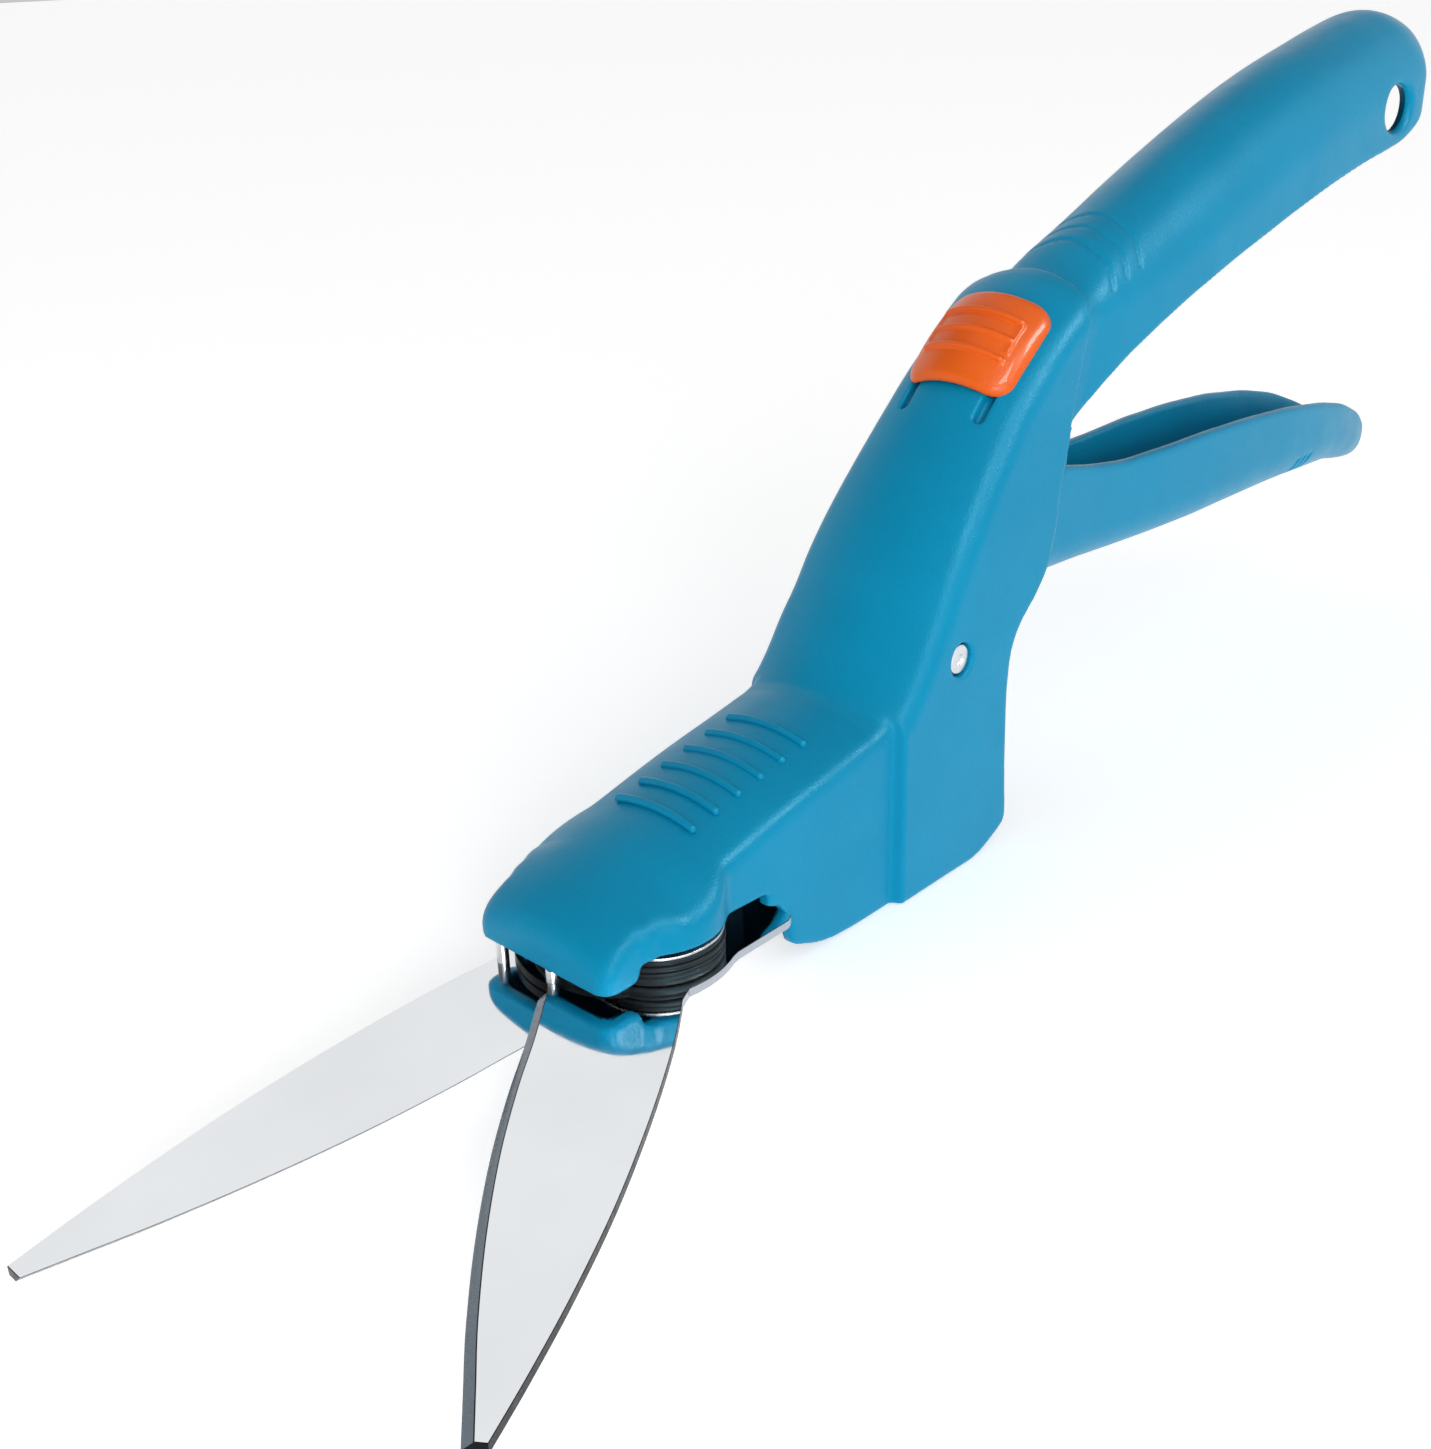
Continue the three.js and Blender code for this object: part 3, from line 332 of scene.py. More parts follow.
SLIDE_TILT = math.radians(38)
LEG_Y = 7.9
SLOT_R = 0.9
SLOT_SPAN = (1.7, 5.5)          # middle and half length of each through slot
SLOT_GROOVE_SPAN = (6.6, 7.7)   # and of the shallow groove that runs on from it
SLOT_GROOVE_DEPTH = 1.6
SLOT_REACH = 9


def housing_field(x, y, z):
    """The one-piece housing and handle, and its outer skin on its own."""
    px, pz = np.broadcast_arrays(x[:, 0, :], z[0])
    px, pz = px.astype(float), pz.astype(float)
    top = -line_distance(px, pz, polyline(TOP_LINE, 1.5))
    edge = line_distance(px, pz, polyline(LOWER_EDGE, 1.2))
    ay = np.abs(y)

    def lift(a):
        return a[:, None, :]

    # Sections of the neck and handle lean with the handle, so widths there follow a leaning x.
    lean_x = px + (np.maximum(pz, LEAN_LOWEST_Z) - LEAN_Z) * LEAN
    skirt_w = np.interp(pz, *np.array(SKIRT_W).T)
    grip_w = along(lean_x, GRIP_W)
    nose_w = np.interp(px, [8.6, 10.4], [NOSE_W, NOSE_W - NOSE_FRONT_INSET])

    def half_width(step_x, collar_x):
        behind_step = ramp(-px, -step_x - 0.5, -step_x + 0.9)
        on_grip = ramp(-lean_x, -collar_x - 0.3, -collar_x + 0.6)
        w = nose_w + (skirt_w - nose_w) * behind_step
        return w + (grip_w - w) * on_grip

    def neck_dip(collar_x):
        falls = ramp(-lean_x, -collar_x - 0.2, -collar_x + 0.6)
        rises = ramp(-lean_x, -COLLAR_X + 1.0, -COLLAR_X + 12)
        return NECK_DIP * falls * (1 - rises)

    crown = y * y / (2 * lift(along(px, CROWN_R)))
    roof = lift(top + neck_dip(COLLAR_X)) + crown
    side = ay - lift(half_width(STEP_X, COLLAR_X))
    end = np.hypot(np.minimum(x - GRIP_END_X, 0), y) - GRIP_END_R
    side = np.where(x < GRIP_END_X, np.maximum(end, side), side)
    # The nose bulges out to each side around the long slide rings.
    lobes = np.hypot(x - RING_X, np.maximum(ay - RING_HALF, 0))
    side = np.where(x > -30, smin(side, lobes - BULGE_R, 0.9), side)
    side = np.where(x > -6, smax(side, x - NOSE_FRONT_X + 0 * ay, NOSE_CORNER_R), side)
    outer = smax(side, roof, lift(along(px, CREASE_R)))

    # Shallow grooves across the handle behind the neck.
    for i in range(NECK_GROOVES):
        from_x = x - (NECK_GROOVE_AT[0] - i * NECK_GROOVE_PITCH[0])
        from_z = z - NECK_GROOVE_AT[1] - i * NECK_GROOVE_PITCH[1]
        groove = np.abs(from_x + from_z * NECK_GROOVE_LEAN) - NECK_GROOVE_HALF
        groove = smax(groove, -(outer + NECK_GROOVE_DEPTH) + 0 * groove, 0.3)
        groove = np.maximum(groove, ay - NECK_GROOVE_REACH)
        groove = np.maximum(groove, -(from_z + NECK_GROOVE_DROP))
        outer = smax(outer, -groove, 0.3)

    wall = lift(along(px, WALLS))
    inner = outer + wall
    # It steps in ahead of the collar and out behind the step, so that both keep a full wall.
    hollow_w = half_width(STEP_X + HOLLOW_STEP_SHIFT, COLLAR_X + HOLLOW_COLLAR_SHIFT) - WALL
    inner = np.maximum(inner, ay - lift(hollow_w))
    inner = np.maximum(inner, lift(top + neck_dip(COLLAR_X + HOLLOW_COLLAR_SHIFT)) + crown + wall)
    # Room for the rings, open to both sides.
    ring_room = smax(lobes - BULGE_R - 0.05, z - RING_ROOF_Z, 0.2)
    hollow = smin(inner, ring_room, 0.2)
    shell = smax(outer, -hollow, 0.5)
    shell = smax(shell, lift(edge) + 0 * y, 0.6)

    for screw_x in SCREW_X:
        from_screw = np.hypot(x - screw_x, y)
        boss = np.maximum(from_screw - BOSS_R, BOSS_FOOT_Z - z)
        boss = np.maximum(boss, outer + 0.8)
        no_bore = 40 * (z > BOSS_BORE_TOP_Z)
        boss = np.maximum(boss, -(from_screw - BOSS_BORE_R) - no_bore)
        shell = smin(shell, boss, 0.6)
    from_pin = np.hypot(x - LEVER_PIN_AT[0], z - LEVER_PIN_AT[1])
    shell = smax(shell, -(from_pin - LEVER_PIN_HOLE_R) + 0 * y, 0.5)
    hole = np.hypot((x - HANG_HOLE[0]) / HANG_HOLE_HALF[0], (z - HANG_HOLE[1]) / HANG_HOLE_HALF[1])
    flare = np.maximum(ay - 14.2, 0) * 0.5
    shell = smax(shell, -((hole - 1) * HANG_HOLE_HALF[1] - flare), 0.8)

    # Guide slots of the lock slider: ux along the slide, un out of it.
    from_x, from_z = x - SLIDE_AT[0], z - SLIDE_AT[1]
    ux = from_x * math.cos(SLIDE_TILT) - from_z * math.sin(SLIDE_TILT)
    un = from_x * math.sin(SLIDE_TILT) + from_z * math.cos(SLIDE_TILT)

    def slot_shape(middle, half):
        past_end = np.maximum(np.abs(ux - middle) - half, 0)
        return np.hypot(past_end, ay - LEG_Y) - SLOT_R

    reach = np.abs(un) - SLOT_REACH
    shell = smax(shell, -np.maximum(slot_shape(*SLOT_SPAN), reach), 0.3)
    groove = np.maximum(slot_shape(*SLOT_GROOVE_SPAN), -(outer + SLOT_GROOVE_DEPTH))
    return smax(shell, -np.maximum(groove, reach), 0.3), outer


def build_housing():
    housing = solid_from_field("housing_shell", housing_field, (-257.5, -21, -12),
                               (20.5, 21, 131.5), VOXEL, "housing", ["main_shell"])
    # The inner faces get a much darker blue, painted shade of the hollow inside.
    dress(housing, BLUE, BLUE_PAINTED_SHADE)


# ---------------------------------------------------------------- lever
LEVER = [  # x, rim z, underside z, half width
    (-62, 36.0, 27.4, 9.4), (-70, 39.0, 27.0, 9.4), (-80, 46, 29.5, 9.4), (-95, 54, 32.4, 9.3),
    (-110, 55.4, 33.2, 9.1), (-122, 52.8, 32.5, 9.1), (-134, 51.0, 31.6, 9.4),
    (-149, 50.5, 30.7, 10.1), (-165, 50.3, 30.0, 10.8), (-183, 49.5, 29.7, 11.3),
    (-202, 47.9, 29.2, 11.5), (-220, 45.2, 28.1, 11.2), (-233, 42.2, 27.2, 10.3),
    (-245, 37.6, 24.8, 8.8), (-253, 33.2, 23.4, 6.9), (-259, 29.0, 23.1, 4.9),
    (-266, 24.0, 22.0, 2.0)]
LEVER_WALL = 2.4
LEVER_END_X = -252.9
LEVER_END_R = 6.4
LEVER_FRONT_X = -61.0
LEVER_BELLY_R = 20
LEVER_HOLLOW_X = (-92, -252.5)
LEVER_FLOOR_RISE = [(-60, 60), (-92, 60), (-96, 0), (-250, 0), (-254, 30)]    # (x, rise)
TIP_GROOVES = 3
TIP_GROOVE_X = -208.0
TIP_GROOVE_PITCH = 2.9
TIP_GROOVE_HALF = 0.5
TIP_GROOVE_DEPTH = 0.75
TIP_GROOVE_TOP_Z = 34.5
HUB_R = 6.2
HUB_BORE_R = 2.82
HUB_Y = (-13.2, 9.4)
ROD_PIN_AT = (-64.12, 9.3)
ROD_PIN_HOLE_R = 1.58
ARM_R = (5.6, 3.4)              # half width of the arm at the hub and at the rod pin
ARM_Y = -10.48
ARM_HALF = 3.1
FORK_Y = -9.15
FORK_HALF = 1.3
FORK_TOP_Z = 14.3
SPRING_X = -84.5
SEAT_X = -87.4                  # the spring's seat is longer behind, where the lever turns up
SEAT_HALF = 2.9                 # past the coil
SEAT_R = 6.0
SEAT_Z = 44.5


def lever_field(x, y, z):
    """The open channel of the lever, with its hub, its arm and the spring's seat."""
    table = np.array(LEVER)
    xs = -table[:, 0]
    fine = np.linspace(xs[0], xs[-1], 400)
    kernel = np.hanning(21)
    kernel /= kernel.sum()

    def curve(column):
        rough = np.pad(np.interp(fine, xs, table[:, column]), 10, mode="edge")
        smooth = np.convolve(rough, kernel, "valid")
        return np.interp(-x[:, 0, 0], fine, smooth)[:, None, None]

    rim, base, w = curve(1), curve(2), curve(3)
    side = np.abs(y) - w
    tip = np.hypot(np.minimum(x - LEVER_END_X, 0), y) - LEVER_END_R
    side = np.where(x < LEVER_END_X, np.maximum(tip, side), side)
    belly = base - z + y * y / (2 * LEVER_BELLY_R)
    outer = smax(side + 0 * z, belly, 5.5)
    rise = along(x, LEVER_FLOOR_RISE)
    hollow = smax(side + LEVER_WALL + 0 * z, belly + LEVER_WALL + rise, 4.5)
    hollow = np.maximum(hollow, x - LEVER_HOLLOW_X[0])
    hollow = smax(hollow, -(x - LEVER_HOLLOW_X[1]), 3)
    body = smax(outer, z - rim, 1.3)
    body = smax(body, -hollow, 0.9)
    # Short grooves across the underside, ahead of the tip.
    for i in range(TIP_GROOVES):
        from_x = x - TIP_GROOVE_X + TIP_GROOVE_PITCH * i
        groove = np.abs(from_x + (z - 30) * 0.3) - TIP_GROOVE_HALF
        groove = np.maximum(groove, -(outer + TIP_GROOVE_DEPTH))
        groove = np.maximum(groove, z - TIP_GROOVE_TOP_Z)
        body = smax(body, -groove, 0.3)

    ax, az = LEVER_PIN_AT
    from_pin = np.hypot(x - ax, z - az)
    hub = smax(from_pin - HUB_R + 0 * y, np.maximum(y - HUB_Y[1], HUB_Y[0] - y), 0.5)
    body = smin(body, hub, 0.8)
    body = np.maximum(body, x - LEVER_FRONT_X)
    d = np.array([ROD_PIN_AT[0] - ax, ROD_PIN_AT[1] - az])
    t = np.clip(((x - ax) * d[0] + (z - az) * d[1]) / (d @ d), 0, 1)
    bar = np.hypot(x - ax - t * d[0], z - az - t * d[1]) - (ARM_R[0] - (ARM_R[0] - ARM_R[1]) * t)
    arm = smax(bar + 0 * y, np.abs(y - ARM_Y) - ARM_HALF, 0.5)
    fork = np.maximum(np.abs(y - FORK_Y) - FORK_HALF, z - FORK_TOP_Z)
    arm = smax(arm, -(fork + 0 * arm), 0.2)
    body = smin(body, arm, 0.8)
    body = np.maximum(body, -(from_pin - HUB_BORE_R) + 0 * y)
    from_rod = np.hypot(x - ROD_PIN_AT[0], z - ROD_PIN_AT[1])
    body = np.maximum(body, -(from_rod - ROD_PIN_HOLE_R) + 0 * y)
    past_end = np.maximum(np.abs(x - SEAT_X) - SEAT_HALF, 0)
    seat = np.maximum(np.hypot(past_end, y) - SEAT_R, SEAT_Z - z)
    return smax(body, -seat, 0.4)


def build_lever():
    lever = solid_from_field("squeeze_lever_body", lever_field, (-262, -14.6, 3.5),
                             (-58.5, 13, 58), VOXEL, "squeeze_lever", ["lever"])
    dress(lever, BLUE)


# ---------------------------------------------------------------- lock slider
PAD_HALF = (6.2, 6.9)           # along the travel and across, without the rounded corner
PAD_CORNER_R = 4.0
PAD_TOP = 3.1
PAD_SWELL = 0.5                 # extra height in the middle
PAD_FOOT = -0.9
PAD_CROWN = 28                  # the pad falls by y * y / PAD_CROWN to each side
PAD_RIBS = (-4.35, -0.2, 3.95)
PAD_RIB_TOP = 3.75
PAD_RIB_HALF = 7.9
PAD_RIB_R = 0.55
LEG_HALF = (3.1, 0.6)           # along and across
LEG_X = -0.9
LEG_Z = (-5.6, 1.5)
PAD_AT = (-93.2, 80.5)          # x and z of the pad's own origin


def slider_field(x, y, z):
    """The ribbed pad and its legs. Own frame: x forward along the travel, z out of the dome."""
    ay = np.abs(y)
    crown = y * y / PAD_CROWN
    plan = np.hypot(np.maximum(np.abs(x) - PAD_HALF[0], 0), np.maximum(ay - PAD_HALF[1], 0))
    plan = plan - PAD_CORNER_R
    swell = PAD_SWELL * np.cos(np.clip(x / 10, -1, 1) * np.pi / 2)
    top = z + crown - PAD_TOP - swell + x * x / 150
    foot = -PAD_FOOT - z - crown
    body = smax(smax(plan + 0 * z, top, 1.6), foot, 0.3)
    past_end = np.maximum(ay - PAD_RIB_HALF, 0)
    for rib_x in PAD_RIBS:
        from_axis = np.sqrt((x - rib_x) ** 2 + past_end ** 2 + (z - (PAD_RIB_TOP - crown)) ** 2)
        body = smin(body, from_axis - PAD_RIB_R, 0.3)
    leg = np.maximum(np.abs(ay - LEG_Y) - LEG_HALF[1], np.abs(x - LEG_X) - LEG_HALF[0])
    leg = np.maximum(leg, np.maximum(z - LEG_Z[1], LEG_Z[0] - z))
    return smin(body, leg, 0.3)


def build_slider():
    pad = solid_from_field("lock_slider_pad", slider_field, (-11.5, -13, -6.5), (11.5, 13, 6),
                           SLIDER_VOXEL, "lock", ["lock_slider"])
    tilt = Matrix.Rotation(SLIDE_TILT, 4, "Y")
    place = Matrix.Translation((PAD_AT[0] * MM, 0, (PAD_AT[1] + PLANE_Z) * MM))
    down = Matrix.Translation((0, 0, -PLANE_Z * MM))
    pad.data.transform(place @ tilt @ down)
    dress(pad, ORANGE)


# ---------------------------------------------------------------- swept tubes
def tube(verts, faces, rows, around):
    """Adds a closed tube: rows of around points, each row one cross-section."""
    start = len(verts)
    for row in rows:
        verts.extend(row)
    for s in range(len(rows) - 1):
        a = start + s * around
        for k in range(around):
            q = (k + 1) % around
            faces.append((a + k, a + around + k, a + around + q, a + q))
    faces.append([start + k for k in range(around)])
    last = start + (len(rows) - 1) * around
    faces.append([last + k for k in range(around)][::-1])


RIBS = 6
RIB_AT = (-8.5, 21.75)          # x and z of the first one
RIB_PITCH = 5.46
RIB_SLOPE = math.radians(10.1)
RIB_HALF = 8.9
RIB_R = 0.72
RIB_AROUND = 20
RIB_STATIONS = 61


def build_grip_ribs():
    """Raised bars across the nose, round on top and at both ends."""
    verts, faces = [], []
    for i in range(RIBS):
        x0 = RIB_AT[0] - i * RIB_PITCH * math.cos(RIB_SLOPE)
        height = RIB_AT[1] + (RIB_AT[0] - x0) * math.tan(RIB_SLOPE)
        rows = []
        for s in range(RIB_STATIONS):
            y = -RIB_HALF * math.cos(math.pi * s / (RIB_STATIONS - 1))
            into_end = max(abs(y) - (RIB_HALF - RIB_R), 0) / RIB_R
            r = RIB_R * math.sqrt(max(1 - into_end ** 2, 1e-4))
            z = height - y * y / 60
            turns = [2 * math.pi * k / RIB_AROUND for k in range(RIB_AROUND)]
            rows.append([(x0 + r * math.cos(t), y, z + r * math.sin(t)) for t in turns])
        tube(verts, faces, rows, RIB_AROUND)
    dress(mesh_piece("grip_ribs", verts, faces, "housing", []), BLUE)


COIL_R = 4.6
COIL_WIRE_R = 0.65
COIL_Z = (45.25, 63.85)         # middle of the wire at each end
COIL_TURNS = 6
COIL_PER_TURN = 30
COIL_AROUND = 12
COIL_FLATTEN = 0.045            # how much the first and last turns lie flat


def build_return_spring():
    """Coil with closed ends, built at one length. On the tool it shortens as the lever comes up."""
    count = COIL_TURNS * COIL_PER_TURN
    rows = []
    for i in range(count + 1):
        f = i / count
        t = 2 * math.pi * COIL_TURNS * f
        rise = f - COIL_FLATTEN * math.sin(4 * math.pi * f)
        z = COIL_Z[0] + (COIL_Z[1] - COIL_Z[0]) * min(max(rise, 0), 1)
        row = []
        for k in range(COIL_AROUND):
            a = 2 * math.pi * k / COIL_AROUND
            r = COIL_R + COIL_WIRE_R * math.cos(a)
            row.append((SPRING_X + r * math.cos(t), r * math.sin(t), z + COIL_WIRE_R * math.sin(a)))
        rows.append(row)
    verts, faces = [], []
    tube(verts, faces, rows, COIL_AROUND)
    coil = mesh_piece("return_spring_coil", verts, faces, "housing",
                      ["return_spring"])
    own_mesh(coil)
    dress(coil, SPRING)


# ---------------------------------------------------------------- blades
OPEN_ANGLE = 34.5               # degrees
BLADE_T = 1.6
BLADE_GAP = 0.15
BEVEL = 1.7
LOWER_SHIFT_Y = -0.3
PIVOT_HOLE = (0, 0, 4.5)        # x, y and radius
BLADE_EDGE = [(17.1, -10.0), (29, -9.1), (41, -8.6), (55, -7.4), (70, -5.2), (84, -2.4),
              (94, 0.1), (101.5, 2.0)]
BLADE_BACK = [(101.5, 5.3), (91, 7.4), (78, 9.6), (62, 11.6), (44, 12.8), (28, 13.1),
              (16.8, 12.6)]
BLADE_ARM = [(-8.6, 17.4), (-20.7, 17.4), (-21.9, 16.9), (-22.4, 16.6), (-23.0, 14.8),
             (-23.0, 5.0), (-21.5, 0), (-17.6, -3.5)]
TANG = [(8, 12.4), (0, 13), (-6, 12), (-12, 10.2), (-51, 10.2), (-54, 7.2), (-54, -7.2),
        (-51, -10.2), (-12, -10.2), (-5, -12.3), (4, -12.8)]
EDGE_STEPS = 54
HUB_STEPS = 20                  # sides of the hub's near arc
BARE_SIDES = 32                 # bare sides that follow the back: hub arc, arm, start of the heel
FACE, GROUND_EDGE, CUT, BARE = range(4)      # material numbers of a plate; the ground edge and the cut sides are darkened with painted shade


def spline(points, steps):
    """Even-parameter curve through the points."""
    p = np.array(points, float)
    last = len(p) - 1
    out = []
    for i in range(steps + 1):
        t = i / steps * last
        k = min(int(t), last - 1)
        u = t - k
        a, b, c, d = p[max(k - 1, 0)], p[k], p[k + 1], p[min(k + 2, last)]
        m1, m2 = (c - a) / 2, (d - b) / 2
        out.append((2 * b - 2 * c + m1 + m2) * u ** 3 + (-3 * b + 3 * c - 2 * m1 - m2) * u ** 2
                   + m1 * u + b)
    return np.array(out)


def turn(points, degrees):
    """The points turned counterclockwise about the pivot."""
    c, s = math.cos(math.radians(degrees)), math.sin(math.radians(degrees))
    p = np.array(points, float).reshape(-1, 2)
    return np.stack([p[:, 0] * c - p[:, 1] * s, p[:, 0] * s + p[:, 1] * c], 1)


def arc(radius, start, end, steps, centre=(0, 0)):
    """Points on an arc, angles in degrees."""
    t = np.radians(np.linspace(start, end, steps + 1))
    return np.stack([centre[0] + radius * np.cos(t), centre[1] + radius * np.sin(t)], 1)


def inset(outline, amount):
    """A counterclockwise outline moved inwards by amount."""
    ahead = np.roll(outline, -1, axis=0) - outline
    back = outline - np.roll(outline, 1, axis=0)
    ahead /= np.maximum(np.linalg.norm(ahead, axis=1, keepdims=True), 1e-9)
    back /= np.maximum(np.linalg.norm(back, axis=1, keepdims=True), 1e-9)
    way = ahead + back
    way /= np.maximum(np.linalg.norm(way, axis=1, keepdims=True), 1e-9)
    stretch = 1 / np.maximum((way * ahead).sum(1), 0.6)
    return outline + np.stack([-way[:, 1], way[:, 0]], 1) * (amount * stretch)[:, None]


def cut_plate(name, low, high, z_low, z_high, holes, body, nodes, bare=range(0)):
    """A sheet-metal plate from its lower and upper outlines, with rounded rims and round holes.

    The first EDGE_STEPS sides are the ground edge, darker with painted shade, and the sides in the
    range bare are bare steel in its own grey. All other sides and every rim are painted nearly
    black as their shade.
    """
    rim = 0.09
    n = len(low)
    depth = z_high - z_low

    def between(t):
        return low + (high - low) * t

    layers = [(inset(low, rim), z_low), (between(rim / depth), z_low + rim),
              (between(1 - rim / depth), z_high - rim), (inset(high, rim), z_high)]
    verts = [(x, y, z) for outline, z in layers for x, y in outline]
    faces, slots = [], []
    for k in range(3):
        for i in range(n):
            j = (i + 1) % n
            a, b = k * n, (k + 1) * n
            faces.append((a + i, a + j, b + j, b + i))
            # Sides outside bare, and all rims, take the cut slot: steel painted nearly black as
            # shade.
            flat = BARE if i in bare else GROUND_EDGE if i < EDGE_STEPS else CUT
            slots.append(flat if k == 1 else CUT)
    rings = []
    for hole_x, hole_y, hole_r in holes:
        ring = arc(hole_r, 0, 360, 48, (hole_x, hole_y))[:-1]
        start = len(verts)
        for z in (z_low, z_high):
            verts += [(x, y, z) for x, y in ring]
        m = len(ring)
        for i in range(m):
            j = (i + 1) % m
            faces.append((start + j, start + i, start + m + i, start + m + j))
            slots.append(CUT)
        rings.append((ring, start, m))
    for at_top in (False, True):
        outline = layers[3 if at_top else 0][0]
        loops = [[Vector((x, y, 0)) for x, y in outline]]
        ids = list(range(3 * n, 4 * n)) if at_top else list(range(n))
        for ring, start, m in rings:
            loops.append([Vector((x, y, 0)) for x, y in ring])
            first = start + m if at_top else start
            ids += list(range(first, first + m))
        for tri in tessellate_polygon(loops):
            a, b, c = (np.array(verts[ids[i]][:2]) for i in tri)
            area = (b[0] - a[0]) * (c[1] - a[1]) - (b[1] - a[1]) * (c[0] - a[0])
            ordered = tri if (area > 0) == at_top else tri[::-1]
            faces.append(tuple(ids[i] for i in ordered))
            slots.append(FACE)
    ob = mesh_piece(name, verts, faces, body, nodes, slots)
    ob.data.set_sharp_from_angle(angle=math.radians(25))
    dress(ob, BLADE, GROUND_PAINTED_SHADE, CUT_SIDE_PAINTED_SHADE, BARE_SIDE)


def build_upper_blade():
    edge, back = spline(BLADE_EDGE, EDGE_STEPS), spline(BLADE_BACK, EDGE_STEPS)
    hub = arc(19.1, 78 - OPEN_ANGLE, 112 - OPEN_ANGLE, HUB_STEPS)
    heel = arc(17.4, 192 - OPEN_ANGLE, 364 - OPEN_ANGLE, 66)
    rest = [back, hub, turn(BLADE_ARM, -OPEN_ANGLE), heel]
    low = turn(np.concatenate([edge] + rest), OPEN_ANGLE)
    high = turn(np.concatenate([edge + [0, BEVEL]] + rest), OPEN_ANGLE)
    cut_plate("upper_blade_steel", low, high, BLADE_GAP, BLADE_GAP + BLADE_T, [PIVOT_HOLE],
              "moving_blade", ["upper_blade"], range(2 * EDGE_STEPS, 2 * EDGE_STEPS + BARE_SIDES))


def build_lower_blade():
    flip = np.array([1, -1])
    shift = np.array([0, LOWER_SHIFT_Y])
    edge = (spline(BLADE_EDGE, EDGE_STEPS) * flip + shift)[::-1]
    back = (spline(BLADE_BACK, EDGE_STEPS) * flip + shift)[::-1]
    rest = [np.array(TANG, float), back]
    high = np.concatenate([edge] + rest)
    low = np.concatenate([edge - [0, BEVEL]] + rest)
    holes = [PIVOT_HOLE] + [(x, 0, 1.9) for x in SCREW_X]
    cut_plate("lower_blade_steel", low, high, -BLADE_T, 0, holes, "housing", ["lower_blade"])


# ---------------------------------------------------------------- rings, disc and pins
RING_INNER_R = 6.9
RING_STATIONS = 160


def ring_piece(name, radius, low, high, rim, material_used, nodes, wave=0.0):
    """A flat ring of the long ring shape, with rounded rims and, for a wave spring, waves."""
    profile = [(RING_INNER_R, high), (RING_INNER_R, low), (radius - rim, low),
               (radius - 0.02, low + rim), (radius, low + 0.3), (radius, high - 0.3),
               (radius - 0.02, high - rim), (radius - rim, high)]
    verts, faces = [], []
    m = len(profile)
    for i in range(RING_STATIONS):
        t = 2 * math.pi * i / RING_STATIONS
        side = RING_HALF if math.sin(t) > 0 else -RING_HALF
        lift = wave * math.sin(5 * t)
        for r, z in profile:
            verts.append((RING_X + r * math.cos(t), side + r * math.sin(t), z + lift))
        j = (i + 1) % RING_STATIONS
        for k in range(m):
            q = (k + 1) % m
            faces.append((i * m + k, j * m + k, j * m + q, i * m + q))
    ob = mesh_piece(name, verts, faces, "housing", nodes)
    ob.data.set_sharp_from_angle(angle=math.radians(50))
    dress(ob, material_used)


def build_rings():
    ring_piece("lower_ring_black", 10.8, 4.45, 5.3, 0.14, BLACK,
               ["lower_slide_ring"])
    ring_piece("upper_ring_black", 10.55, 5.45, 6.3, 0.14, BLACK,
               ["upper_slide_ring"])
    ring_piece("wave_spring_ring", 10.7, 6.53, 6.95, 0.08, SPRING,
               ["wave_spring"], wave=0.06)


DISC_R = 10.7                   # radius at each end of its long shape
DISC_MIDDLE_R = 14.6
DISC_Z = (1.95, 4.2)
DISC_GROOVE_Z = (3.2, 3.5)
CRANK_PIN_AT = (3.032, -9.193)
CRANK_PIN_HOLE_R = 1.6


def disc_field(x, y, z):
    """The disc that turns with the upper blade, with a fine groove around its rim."""
    lobes = np.hypot(x - RING_X, np.maximum(np.abs(y) - RING_HALF, 0))
    in_groove = (z > DISC_GROOVE_Z[0]) & (z < DISC_GROOVE_Z[1])
    end = lobes - np.where(in_groove, DISC_R - 0.5, DISC_R)
    middle = np.hypot(x, y) - DISC_MIDDLE_R + 0.4 * in_groove
    body = smax(np.minimum(end, middle), np.maximum(z - DISC_Z[1], DISC_Z[0] - z), 0.3)
    crank = np.hypot(x - CRANK_PIN_AT[0], y - CRANK_PIN_AT[1]) - CRANK_PIN_HOLE_R
    return np.maximum(np.maximum(body, PIVOT_HOLE[2] - np.hypot(x, y)), -crank)


def build_driver_disc():
    disc = solid_from_field("driver_disc_black", disc_field, (-16, -20, 1.2), (16, 20, 5),
                            DISC_VOXEL, "moving_blade", ["driver_disc"])
    dress(disc, BLACK)


def zinc_piece(name, profile, at, axis, body, nodes):
    """A round plated piece from (radius, height) pairs that start and end on its own axis."""
    count = 72
    verts, faces, rows = [], [], []
    first, second, lengthwise = {"z": (0, 1, 2), "y": (0, 2, 1)}[axis]
    for r, h in profile:
        row = []
        for i in range(count if r > 0 else 1):
            t = 2 * math.pi * i / count
            p = [0.0, 0.0, 0.0]
            p[first] = at[0] + r * math.cos(t)
            p[second] = at[1] + r * math.sin(t)
            p[lengthwise] = h
            row.append(len(verts))
            verts.append(p)
        rows.append(row if r > 0 else row * count)
    for a, b in zip(rows[:-1], rows[1:]):
        for i in range(count):
            j = (i + 1) % count
            face = [a[i], a[j], b[j], b[i]]
            face = [v for k, v in enumerate(face) if v not in face[:k]]
            faces.append(face if axis == "z" else face[::-1])
    ob = mesh_piece(name, verts, faces, body, nodes)
    ob.data.set_sharp_from_angle(angle=math.radians(40))
    dress(ob, ZINC)


